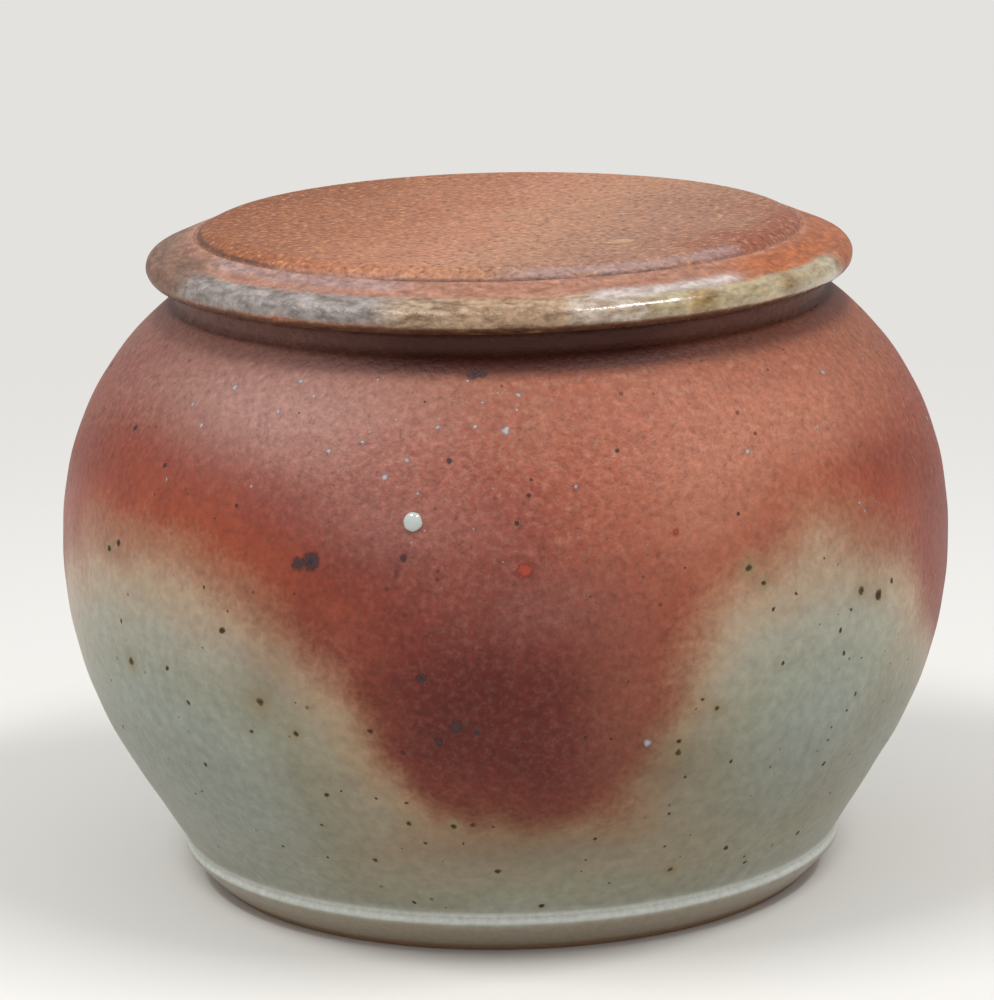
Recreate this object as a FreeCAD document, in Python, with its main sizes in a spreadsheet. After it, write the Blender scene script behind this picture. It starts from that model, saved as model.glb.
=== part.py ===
"""A squat wheel-thrown stoneware pot with a flat, knobless lid that lifts off.

The origin is the centre of the face that the pot stands on, with +Z up. Every size is a cell of the sheet
Sizes, in millimetres. Each piece is thrown as a potter throws it: a section, turned once round the axis.
"""
import FreeCAD, Part

import os
from math import asin, cos, hypot, sin
from types import SimpleNamespace

import Sketcher
from FreeCAD import Vector

SIZES = {
    # The pot outside, from the foot up: bevel, bead, lower wall, belly, shoulder and neck.
    "base_radius": 42.6,
    "bead_centre_radius": 45.7,
    "bead_centre_height": 5.0,
    "bead_round": 1.25,
    "wall_arc": 600.0,
    "wall_top_height": 19.5,
    "belly_centre_radius": 6.6,
    "belly_centre_height": 48.0,
    "belly_arc": 56.0,
    "belly_top_height": 56.4,
    "shoulder_arc": 40.0,
    "neck_radius": 45.6,
    "rim_height": 85.6,
    # The pot inside.
    "wall_thickness": 5.0,
    "floor_height": 8.0,
    "throat_radius": 39.8,
    "throat_round": 2.0,
    "rim_outer_round": 0.9,
    "rim_inner_round": 1.2,
    # The turned recess under the foot.
    "recess_radius": 33.5,
    "recess_slope": 1.6,
    "recess_depth": 2.2,
    "foot_round": 0.7,
    # The lid above its seat.
    "lid_top_height": 93.1,
    "plateau_radius": 41.7,
    "plateau_edge_arc": 5.5,
    "brim_inner_height": 92.1,
    "rolled_rim_centre_radius": 47.4,
    "rolled_rim_round": 2.0,
    "score_radius": 42.2,
    "score_width": 0.7,
    "score_depth": 0.45,
    # The lid below its seat.
    "ceiling_height": 88.2,
    "ceiling_round": 0.8,
    "flange_outer_radius": 38.6,
    "flange_inner_radius": 35.2,
    "flange_bottom_height": 79.6,
    "flange_round": 1.1,
    "seat_corner_round": 0.8,
}
START, END, CENTRE = 1, 2, 3
ORIGIN = (-1, START)
CUT_MARGIN = 0.5


class Section:
    """A closed outline on a body's XZ plane, drawn anticlockwise, with the radius as x and the height as y.

    The points it is drawn through only show the solver which way each edge goes. The sheet sets its sizes.
    """

    def __init__(self, body, name):
        self.body = body
        self.sketch = body.newObject("Sketcher::SketchObject", name)
        plane = next(part for part in body.Origin.OriginFeatures if part.Role == "XZ_Plane")
        self.sketch.AttachmentSupport = [(plane, "")]
        self.sketch.MapMode = "FlatFace"
        self.edges = {}

    def line(self, name, start, end):
        """Adds a straight edge."""
        segment = Part.LineSegment(Vector(*start, 0), Vector(*end, 0))
        self.edges[name] = self.sketch.addGeometry(segment, False)

    def arc(self, name, start, middle, end):
        """Adds an edge that is part of a circle."""
        curve = Part.Arc(Vector(*start, 0), Vector(*middle, 0), Vector(*end, 0))
        self.edges[name] = self.sketch.addGeometry(curve, False)

    def constrain(self, kind, *terms):
        """Adds one constraint and returns its number."""
        return self.sketch.addConstraint(Sketcher.Constraint(kind, *terms))

    def close(self, smooth=()):
        """Joins each edge to the next, with a shared tangent after the edges named in smooth."""
        names = list(self.edges)
        for name, following in zip(names, names[1:] + names[:1]):
            kind = "Tangent" if name in smooth else "Coincident"
            self.constrain(kind, self.edges[name], END, self.edges[following], START)

    def level(self, *names):
        """Keeps straight edges horizontal."""
        for name in names:
            self.constrain("Horizontal", self.edges[name])

    def upright(self, *names):
        """Keeps straight edges vertical."""
        for name in names:
            self.constrain("Vertical", self.edges[name])

    def on_axis(self, name):
        """Keeps both ends of an edge on the axis that the piece turns about."""
        for end in (START, END):
            self.constrain("PointOnObject", self.edges[name], end, -2)

    def drive(self, number, expression):
        """Lets the sheet drive a dimension."""
        self.sketch.setExpression(f"Constraints[{number}]", expression)

    def radius(self, name, end, expression):
        """Sets how far a point stands from the axis."""
        drawn = self.point(name, end).x
        self.drive(self.constrain("DistanceX", *ORIGIN, self.edges[name], end, drawn), expression)

    def height(self, name, end, expression):
        """Sets how high a point stands."""
        drawn = self.point(name, end).y
        self.drive(self.constrain("DistanceY", *ORIGIN, self.edges[name], end, drawn), expression)

    def curve(self, name, expression):
        """Sets the radius of an arc."""
        drawn = self.sketch.Geometry[self.edges[name]].Radius
        self.drive(self.constrain("Radius", self.edges[name], drawn), expression)

    def point(self, name, end):
        """Gives an edge's start, end or centre, as radius and height."""
        return self.sketch.getPoint(self.edges[name], end)

    def turn(self, kind, name):
        """Turns the section once round the axis, as added clay or as a cut."""
        feature = self.body.newObject(kind, name)
        feature.Profile = self.sketch
        feature.ReferenceAxis = (self.sketch, ["V_Axis"])
        feature.Angle = 360.0
        self.sketch.Visibility = False
        self.body.Document.recompute()
        return feature


def make_sheet(doc):
    """The sheet that holds each driving dimension under its own alias."""
    sheet = doc.addObject("Spreadsheet::Sheet", "Sizes")
    for row, (alias, value) in enumerate(SIZES.items(), start=1):
        sheet.set(f"A{row}", alias)
        sheet.set(f"B{row}", str(value))
        sheet.setAlias(f"B{row}", alias)
    doc.recompute()


def on_circle(centre, arc, height):
    """The outward point of a circle at a height."""
    return centre[0] + (arc**2 - (height - centre[1]) ** 2) ** 0.5, height


def at_angle(centre, arc, angle):
    """The point of a circle at an angle above the horizontal."""
    return centre[0] + arc * cos(angle), centre[1] + arc * sin(angle)


def between(start, end, bulge=0.0):
    """The point half way along an edge, pushed outward by bulge."""
    return (start[0] + end[0]) / 2 + bulge, (start[1] + end[1]) / 2


def swell(size, inset):
    """The belly and shoulder circles at a depth inside the outer wall, and the angle where they meet."""
    belly = (size.belly_centre_radius, size.belly_centre_height)
    angle = asin((size.belly_top_height - size.belly_centre_height) / size.belly_arc)
    shoulder = at_angle(belly, size.belly_arc - size.shoulder_arc, angle)
    return belly, size.belly_arc - inset, shoulder, size.shoulder_arc - inset, angle


def pot_outside(body, size):
    """The outer wall, with a bead above the bevel of the foot and three arcs that run into each other."""
    belly, belly_arc, shoulder, shoulder_arc, angle = swell(size, 0)
    bead = (size.bead_centre_radius, size.bead_centre_height)
    foot = (size.base_radius, 0)
    bead_low = on_circle(bead, size.bead_round, size.bead_centre_height - 0.7 * size.bead_round)
    bead_top = on_circle(bead, size.bead_round, size.bead_centre_height + 0.7 * size.bead_round)
    wall_top = on_circle(belly, belly_arc, size.wall_top_height)
    chord = hypot(wall_top[0] - bead_top[0], wall_top[1] - bead_top[1])
    belly_top = at_angle(belly, belly_arc, angle)
    neck = (size.neck_radius, shoulder[1] + (shoulder_arc**2 - (size.neck_radius - shoulder[0]) ** 2) ** 0.5)
    shoulder_middle = on_circle(shoulder, shoulder_arc, between(belly_top, neck)[1])
    rim = (size.neck_radius, size.rim_height)
    top = (0, size.rim_height)

    section = Section(body, "OutsideSection")
    section.line("base", (0, 0), foot)
    section.line("bevel", foot, bead_low)
    section.arc("bead", bead_low, at_angle(bead, size.bead_round, 0), bead_top)
    section.arc("wall", bead_top, between(bead_top, wall_top, chord**2 / 8 / size.wall_arc), wall_top)
    section.arc("belly", wall_top, at_angle(belly, belly_arc, 0), belly_top)
    section.arc("shoulder", belly_top, shoulder_middle, neck)
    section.line("neck", neck, rim)
    section.line("rim", rim, top)
    section.line("axis", top, (0, 0))
    section.close(smooth=("bevel", "wall", "belly"))
    section.level("base", "rim")
    section.on_axis("axis")
    section.upright("neck")
    section.height("base", START, "0 mm")
    section.radius("base", END, "Sizes.base_radius")
    section.radius("bead", CENTRE, "Sizes.bead_centre_radius")
    section.height("bead", CENTRE, "Sizes.bead_centre_height")
    section.curve("bead", "Sizes.bead_round")
    section.curve("wall", "Sizes.wall_arc")
    section.height("wall", END, "Sizes.wall_top_height")
    section.radius("belly", CENTRE, "Sizes.belly_centre_radius")
    section.height("belly", CENTRE, "Sizes.belly_centre_height")
    section.curve("belly", "Sizes.belly_arc")
    section.height("belly", END, "Sizes.belly_top_height")
    section.curve("shoulder", "Sizes.shoulder_arc")
    section.radius("neck", END, "Sizes.neck_radius")
    section.height("rim", END, "Sizes.rim_height")
    return section.turn("PartDesign::Revolution", "ThrownWall")


def pot_inside(body, size):
    """The hollow, whose belly and shoulder lie one wall thickness inside the outer ones.

    Returns the cut and the height at which the throat opens into the shoulder.
    """
    belly, belly_arc, shoulder, shoulder_arc, angle = swell(size, size.wall_thickness)
    corner_top = on_circle(belly, belly_arc, size.wall_top_height)
    corner_depth = size.wall_top_height - size.floor_height
    floor_end = (corner_top[0] - 2 * corner_depth, size.floor_height)
    belly_top = at_angle(belly, belly_arc, angle)
    reach = size.throat_radius - shoulder[0]
    throat = (size.throat_radius, shoulder[1] + (shoulder_arc**2 - reach**2) ** 0.5)
    shoulder_middle = on_circle(shoulder, shoulder_arc, between(belly_top, throat)[1])
    above = size.rim_height + CUT_MARGIN

    section = Section(body, "InsideSection")
    section.line("floor", (0, size.floor_height), floor_end)
    section.arc("corner", floor_end, between(floor_end, corner_top, corner_depth / 4), corner_top)
    section.arc("belly", corner_top, at_angle(belly, belly_arc, 0), belly_top)
    section.arc("shoulder", belly_top, shoulder_middle, throat)
    section.line("throat", throat, (size.throat_radius, above))
    section.line("mouth", (size.throat_radius, above), (0, above))
    section.line("axis", (0, above), (0, size.floor_height))
    section.close(smooth=("floor", "corner", "belly"))
    section.level("floor", "mouth")
    section.on_axis("axis")
    section.upright("throat")
    section.height("floor", START, "Sizes.floor_height")
    section.height("corner", END, "Sizes.wall_top_height")
    section.radius("belly", CENTRE, "Sizes.belly_centre_radius")
    section.height("belly", CENTRE, "Sizes.belly_centre_height")
    section.curve("belly", "Sizes.belly_arc - Sizes.wall_thickness")
    rise = "(Sizes.belly_top_height - Sizes.belly_centre_height) / Sizes.belly_arc"
    inner_rise = f"{rise} * (Sizes.belly_arc - Sizes.wall_thickness)"
    section.height("belly", END, f"Sizes.belly_centre_height + {inner_rise}")
    section.curve("shoulder", "Sizes.shoulder_arc - Sizes.wall_thickness")
    section.radius("throat", END, "Sizes.throat_radius")
    section.height("mouth", END, f"Sizes.rim_height + {CUT_MARGIN}")
    hollow = section.turn("PartDesign::Groove", "Hollow")
    return hollow, section.point("shoulder", END).y


def foot_recess(body, size):
    """The shallow recess turned under the foot, which leaves a ring to stand on."""
    mouth = (size.recess_radius + size.recess_slope, 0)
    roof = (size.recess_radius, size.recess_depth)

    section = Section(body, "RecessSection")
    section.line("ground", (0, 0), mouth)
    section.line("slope", mouth, roof)
    section.line("roof", roof, (0, size.recess_depth))
    section.line("axis", (0, size.recess_depth), (0, 0))
    section.close()
    section.level("ground", "roof")
    section.on_axis("axis")
    section.height("ground", START, "0 mm")
    section.radius("ground", END, "Sizes.recess_radius + Sizes.recess_slope")
    section.radius("slope", END, "Sizes.recess_radius")
    section.height("roof", END, "Sizes.recess_depth")
    return section.turn("PartDesign::Groove", "TurnedFoot")


def lid_plate(body, size):
    """The lid, from the hollow underneath round the flange, the seat and the rolled rim to the plateau."""
    ceiling, seat, low = size.ceiling_height, size.rim_height, size.flange_bottom_height
    inner, outer = size.flange_inner_radius, size.flange_outer_radius
    roll_centre = (size.rolled_rim_centre_radius, seat + size.rolled_rim_round)
    roll_low = (size.rolled_rim_centre_radius, seat)
    roll_top = on_circle(roll_centre, size.rolled_rim_round, roll_centre[1] + 0.9 * size.rolled_rim_round)
    foot = (size.plateau_radius, size.brim_inner_height)
    edge_low = size.lid_top_height - size.plateau_edge_arc
    flat = (foot[0] - on_circle((0, edge_low), size.plateau_edge_arc, foot[1])[0], size.lid_top_height)
    edge_middle = on_circle((flat[0], edge_low), size.plateau_edge_arc, (foot[1] + flat[1]) / 2)

    section = Section(body, "LidSection")
    section.line("ceiling", (0, ceiling), (inner, ceiling))
    section.line("flange_inside", (inner, ceiling), (inner, low))
    section.line("flange_end", (inner, low), (outer, low))
    section.line("flange_outside", (outer, low), (outer, seat))
    section.line("seat", (outer, seat), roll_low)
    section.arc("roll", roll_low, at_angle(roll_centre, size.rolled_rim_round, 0), roll_top)
    section.line("brim", roll_top, foot)
    section.arc("plateau_edge", foot, edge_middle, flat)
    section.line("plateau", flat, (0, size.lid_top_height))
    section.line("axis", (0, size.lid_top_height), (0, ceiling))
    section.close(smooth=("seat", "roll", "plateau_edge"))
    section.level("ceiling", "flange_end", "seat", "plateau")
    section.on_axis("axis")
    section.upright("flange_inside", "flange_outside")
    section.height("ceiling", START, "Sizes.ceiling_height")
    section.radius("flange_inside", END, "Sizes.flange_inner_radius")
    section.height("flange_inside", END, "Sizes.flange_bottom_height")
    section.radius("flange_outside", END, "Sizes.flange_outer_radius")
    section.height("flange_outside", END, "Sizes.rim_height")
    section.radius("roll", CENTRE, "Sizes.rolled_rim_centre_radius")
    section.curve("roll", "Sizes.rolled_rim_round")
    section.radius("brim", END, "Sizes.plateau_radius")
    section.height("brim", END, "Sizes.brim_inner_height")
    section.curve("plateau_edge", "Sizes.plateau_edge_arc")
    section.height("plateau", END, "Sizes.lid_top_height")
    return section.turn("PartDesign::Revolution", "LidPlate")


def scored_ring(body, size):
    """The fine line cut round the foot of the plateau while the lid was turned."""
    half = size.score_width / 2
    above = size.brim_inner_height + CUT_MARGIN
    point = (size.score_radius, size.brim_inner_height - size.score_depth)

    section = Section(body, "ScoreSection")
    section.line("outer", point, (size.score_radius + half, above))
    section.line("cover", (size.score_radius + half, above), (size.score_radius - half, above))
    section.line("inner", (size.score_radius - half, above), point)
    section.close()
    section.level("cover")
    section.radius("outer", START, "Sizes.score_radius")
    section.height("outer", START, "Sizes.brim_inner_height - Sizes.score_depth")
    section.radius("outer", END, "Sizes.score_radius + Sizes.score_width / 2")
    section.radius("inner", START, "Sizes.score_radius - Sizes.score_width / 2")
    section.height("cover", END, f"Sizes.brim_inner_height + {CUT_MARGIN}")
    return section.turn("PartDesign::Groove", "ScoredRing")


def ring_edge(shape, radius, height):
    """The name of the circular edge of a shape that has this radius and height."""
    for number, edge in enumerate(shape.Edges, start=1):
        curve = edge.Curve
        if isinstance(curve, Part.Circle) and hypot(curve.Radius - radius, curve.Center.z - height) < 0.01:
            return f"Edge{number}"
    raise RuntimeError(f"no edge of radius {radius:.2f} at {height:.2f}")


def soften(body, base, name, alias, *rings):
    """Rounds circular edges, each given as its radius and height, by the size that the alias names."""
    fillet = body.newObject("PartDesign::Fillet", name)
    fillet.Base = (base, [ring_edge(base.Shape, *ring) for ring in rings])
    fillet.Radius = SIZES[alias]
    fillet.setExpression("Radius", f"Sizes.{alias}")
    body.Document.recompute()
    return fillet


def make_pot(doc, size):
    """The thrown pot."""
    body = doc.addObject("PartDesign::Body", "Pot")
    body.Label = "pot"
    pot_outside(body, size)
    hollow, throat_height = pot_inside(body, size)
    step = soften(body, hollow, "ThroatLip", "throat_round", (size.throat_radius, throat_height))
    step = soften(body, step, "RimInside", "rim_inner_round", (size.throat_radius, size.rim_height))
    soften(body, step, "RimOutside", "rim_outer_round", (size.neck_radius, size.rim_height))
    foot = foot_recess(body, size)
    ring_inside = (size.recess_radius + size.recess_slope, 0)
    soften(body, foot, "FootEdges", "foot_round", ring_inside, (size.base_radius, 0))
    return body


def make_lid(doc, size):
    """The lid, which rests on the pot's rim and reaches down into its throat."""
    body = doc.addObject("PartDesign::Body", "Lid")
    body.Label = "lid"
    plate = lid_plate(body, size)
    inner, outer = size.flange_inner_radius, size.flange_outer_radius
    flange_end = ((inner, size.flange_bottom_height), (outer, size.flange_bottom_height))
    step = soften(body, plate, "FlangeEnd", "flange_round", *flange_end)
    step = soften(body, step, "SeatCorner", "seat_corner_round", (outer, size.rim_height))
    soften(body, step, "CeilingCorner", "ceiling_round", (inner, size.ceiling_height))
    scored_ring(body, size)
    return body


def check(doc, bodies):
    """Stops if any object failed, if a section has freedom left, or if a body isn't one valid solid."""
    for thing in doc.Objects:
        if "Invalid" in thing.State or "Error" in thing.State:
            raise RuntimeError(f"{thing.Name} failed: {thing.State}")
        if thing.TypeId == "Sketcher::SketchObject" and (thing.solve() != 0 or not thing.FullyConstrained):
            raise RuntimeError(f"{thing.Name} isn't fully constrained")
    for body in bodies:
        shape = body.Shape
        if shape.isNull() or not shape.isValid() or len(shape.Solids) != 1:
            raise RuntimeError(f"{body.Label} isn't one valid solid")
        box = shape.optimalBoundingBox()
        heights = f"from {box.ZMin:.2f} to {box.ZMax:.2f} mm"
        print(f"{body.Label}: {shape.Volume / 1000:.1f} cm3, {box.XLength:.2f} mm across, {heights}")


def main():
    """Builds the document and writes each piece."""
    doc = FreeCAD.newDocument("StonewarePot")
    make_sheet(doc)
    size = SimpleNamespace(**SIZES)
    bodies = [make_pot(doc, size), make_lid(doc, size)]
    doc.recompute()
    check(doc, bodies)
    os.makedirs("parts", exist_ok=True)
    for body in bodies:
        body.Shape.exportStep(f"parts/{body.Label}.step")


main()
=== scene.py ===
"""A wheel-thrown stoneware pot and its flat lid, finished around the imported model.

The pot is salt-fired red clay above, and pale celadon glaze below, where it was dipped from several sides.
Sizes are millimetres unless a name says otherwise, and MM turns them into the metres of the frame. An angle
round the pot is in degrees from the front, which faces -Y, and grows towards +X.
"""

import logging
import math
import random
from collections.abc import Sequence
from dataclasses import dataclass, field
from enum import Enum

import bpy
import numpy as np
from mathutils import Matrix, Vector
from mathutils.bvhtree import BVHTree


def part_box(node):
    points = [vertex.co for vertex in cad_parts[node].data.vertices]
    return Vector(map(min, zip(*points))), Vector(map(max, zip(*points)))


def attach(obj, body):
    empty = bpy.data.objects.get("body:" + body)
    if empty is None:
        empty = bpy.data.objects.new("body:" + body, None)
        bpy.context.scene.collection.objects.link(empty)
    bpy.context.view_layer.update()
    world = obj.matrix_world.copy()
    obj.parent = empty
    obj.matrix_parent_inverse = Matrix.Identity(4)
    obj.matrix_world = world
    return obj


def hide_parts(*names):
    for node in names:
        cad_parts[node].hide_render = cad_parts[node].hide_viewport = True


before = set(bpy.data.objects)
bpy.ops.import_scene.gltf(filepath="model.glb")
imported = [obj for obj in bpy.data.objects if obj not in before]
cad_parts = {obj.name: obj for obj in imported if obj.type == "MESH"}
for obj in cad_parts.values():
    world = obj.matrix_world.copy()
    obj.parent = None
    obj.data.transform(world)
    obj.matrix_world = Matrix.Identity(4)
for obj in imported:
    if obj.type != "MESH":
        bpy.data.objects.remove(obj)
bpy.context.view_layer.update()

MM = 0.001
LOG = logging.getLogger("stoneware")

SMOOTH = {"interpolation_type": "SMOOTHSTEP"}

Colour = tuple[float, float, float, float]
Point = tuple[float, float]
Place = tuple[float, float, float]
Tree = bpy.types.NodeTree
Node = bpy.types.Node
Piece = bpy.types.Object
# Values, each with the sRGB hex colour that it stands for.
Stops = Sequence[tuple[float, str]]


def linear(code: str) -> Colour:
    """Turns an sRGB hex colour into the linear colour that a shader socket takes.

    Args:
        code: The colour as "#rrggbb".

    Returns:
        Red, green, blue and full alpha.
    """
    parts = [int(code[i : i + 2], 16) / 255 for i in (1, 3, 5)]
    red, green, blue = [c / 12.92 if c <= 0.04045 else ((c + 0.055) / 1.055) ** 2.4 for c in parts]
    return red, green, blue, 1.0


def add(tree: Tree, kind: str, inputs: dict | None = None, stops: Stops = (), **settings: object) -> Node:
    """Adds a node, makes its settings and fills its inputs.

    Args:
        tree: The node tree that takes the node.
        kind: The node's type.
        inputs: What each input gets, by its name or its number: a value, a socket, or a node, which stands
            for its first output that is in use.
        stops: The places and the colours of a colour ramp.
        settings: The node's own properties.

    Returns:
        The new node.
    """
    node = tree.nodes.new(kind)
    for name, value in settings.items():
        setattr(node, name, value)
    for key, value in (inputs or {}).items():
        found = node.inputs[key] if isinstance(key, int) else next(
            socket for socket in node.inputs if socket.name == key and socket.enabled
        )
        if isinstance(value, bpy.types.Node):
            value = next(socket for socket in value.outputs if socket.enabled)
        if isinstance(value, bpy.types.NodeSocket):
            tree.links.new(value, found)
        else:
            found.default_value = value
    for number, (place, code) in enumerate(stops):
        elements = node.color_ramp.elements
        element = elements[number] if number < 2 else elements.new(place)
        element.position, element.color = place, linear(code)
    return node


@dataclass(frozen=True)
class Knot:
    """One point of an outline.

    Args:
        radius: How far it stands from the axis.
        height: How high it stands.
        step: How far apart the points of the line that leads to it are.
        give: How far the surface may wander there, as a share of what the wheel marks ask.
        soft: The radius that the corner is wiped round to.
    """

    radius: float
    height: float
    step: float = math.inf
    give: float = 0.0
    soft: float = 0.0

    def place(self) -> Vector:
        """Gives the knot as a vector of radius and height."""
        return Vector((self.radius, self.height))


@dataclass
class Outline:
    """Half a section of a turned piece, drawn from the axis underneath, up the outside and back to it."""

    knots: list[Knot] = field(default_factory=list)
    corner_parts: int = 5
    # Two points nearer than this count as one.
    least_gap: float = 1e-4

    def line(
        self, radius: float, height: float, step: float = math.inf, give: float = 0.0, soft: float = 0.0
    ) -> None:
        """Draws a straight line to a point, which may be a soft corner."""
        self.knots.append(Knot(radius, height, step, give, soft))

    def arc(
        self, centre: Point, radius: float, first: float, last: float, step: float, give: float = 0.0
    ) -> None:
        """Draws part of a circle.

        Args:
            centre: The circle's centre, as radius and height.
            radius: The circle's own radius.
            first: The angle where it starts, in degrees above the horizontal.
            last: The angle where it ends.
            step: How far apart its points are.
            give: How far the surface may wander.
        """
        count = max(3, math.ceil(abs(math.radians(last - first)) * radius / step))
        for part in range(count + 1):
            angle = math.radians(first + (last - first) * part / count)
            spot = centre[0] + radius * math.cos(angle), centre[1] + radius * math.sin(angle)
            self.knots.append(Knot(*spot, step if part == 0 else math.inf, give))

    def softened(self) -> list[Knot]:
        """Gives the knots with each soft corner replaced by points round it."""
        knots = [self.knots[0]]
        for before, knot, after in zip(self.knots, self.knots[1:], self.knots[2:]):
            if not knot.soft:
                knots.append(knot)
                continue
            back = (before.place() - knot.place()).normalized()
            ahead = (after.place() - knot.place()).normalized()
            half = back.angle(ahead) / 2
            centre = knot.place() + (back + ahead).normalized() * (knot.soft / math.sin(half))
            reach = knot.soft / math.tan(half)
            first, last = knot.place() + back * reach - centre, knot.place() + ahead * reach - centre
            for part in range(self.corner_parts + 1):
                spot = centre + first.slerp(last, part / self.corner_parts) * knot.soft
                knots.append(Knot(spot.x, spot.y, knot.step if part == 0 else math.inf, knot.give))
        return knots + [self.knots[-1]]

    def points(self) -> list[Knot]:
        """Gives the outline's points, with its straight lines divided into steps."""
        knots = self.softened()
        points = [knots[0]]
        for start, end in zip(knots, knots[1:]):
            gap = (end.place() - start.place()).length
            if gap < self.least_gap:
                continue
            count = max(1, round(gap / end.step))
            for part in range(1, count + 1):
                share = part / count
                spot = start.place().lerp(end.place(), share)
                points.append(Knot(spot.x, spot.y, give=start.give + (end.give - start.give) * share))
        return points


def sheet_of_inputs(tree: Tree, sizes: dict[str, float | int]) -> Node:
    """Gives a geometry tree its sockets: the geometry, a number for each size, and the finish.

    Args:
        tree: The tree.
        sizes: The name and the usual value of each number. A whole number makes a whole-number socket.

    Returns:
        The node that holds the inputs inside the tree.
    """
    tree.interface.new_socket("Geometry", in_out="OUTPUT", socket_type="NodeSocketGeometry")
    tree.interface.new_socket("Geometry", in_out="INPUT", socket_type="NodeSocketGeometry")
    for name, value in sizes.items():
        kind = "NodeSocketInt" if isinstance(value, int) else "NodeSocketFloat"
        tree.interface.new_socket(name, in_out="INPUT", socket_type=kind).default_value = value
    tree.interface.new_socket("Finish", in_out="INPUT", socket_type="NodeSocketMaterial")
    return add(tree, "NodeGroupInput")


def finish_tree(tree: Tree, given: Node, shape: Node) -> None:
    """Ends a geometry tree: real geometry, smooth, with its finish on.

    Args:
        tree: The tree.
        given: The node that holds the tree's inputs.
        shape: The node whose output is the geometry.
    """
    real = add(tree, "GeometryNodeRealizeInstances", {"Geometry": shape})
    smooth = add(tree, "GeometryNodeSetShadeSmooth", {"Geometry": real})
    dressed = add(tree, "GeometryNodeSetMaterial", {"Geometry": smooth, "Material": given.outputs["Finish"]})
    add(tree, "NodeGroupOutput", {"Geometry": dressed})


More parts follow.
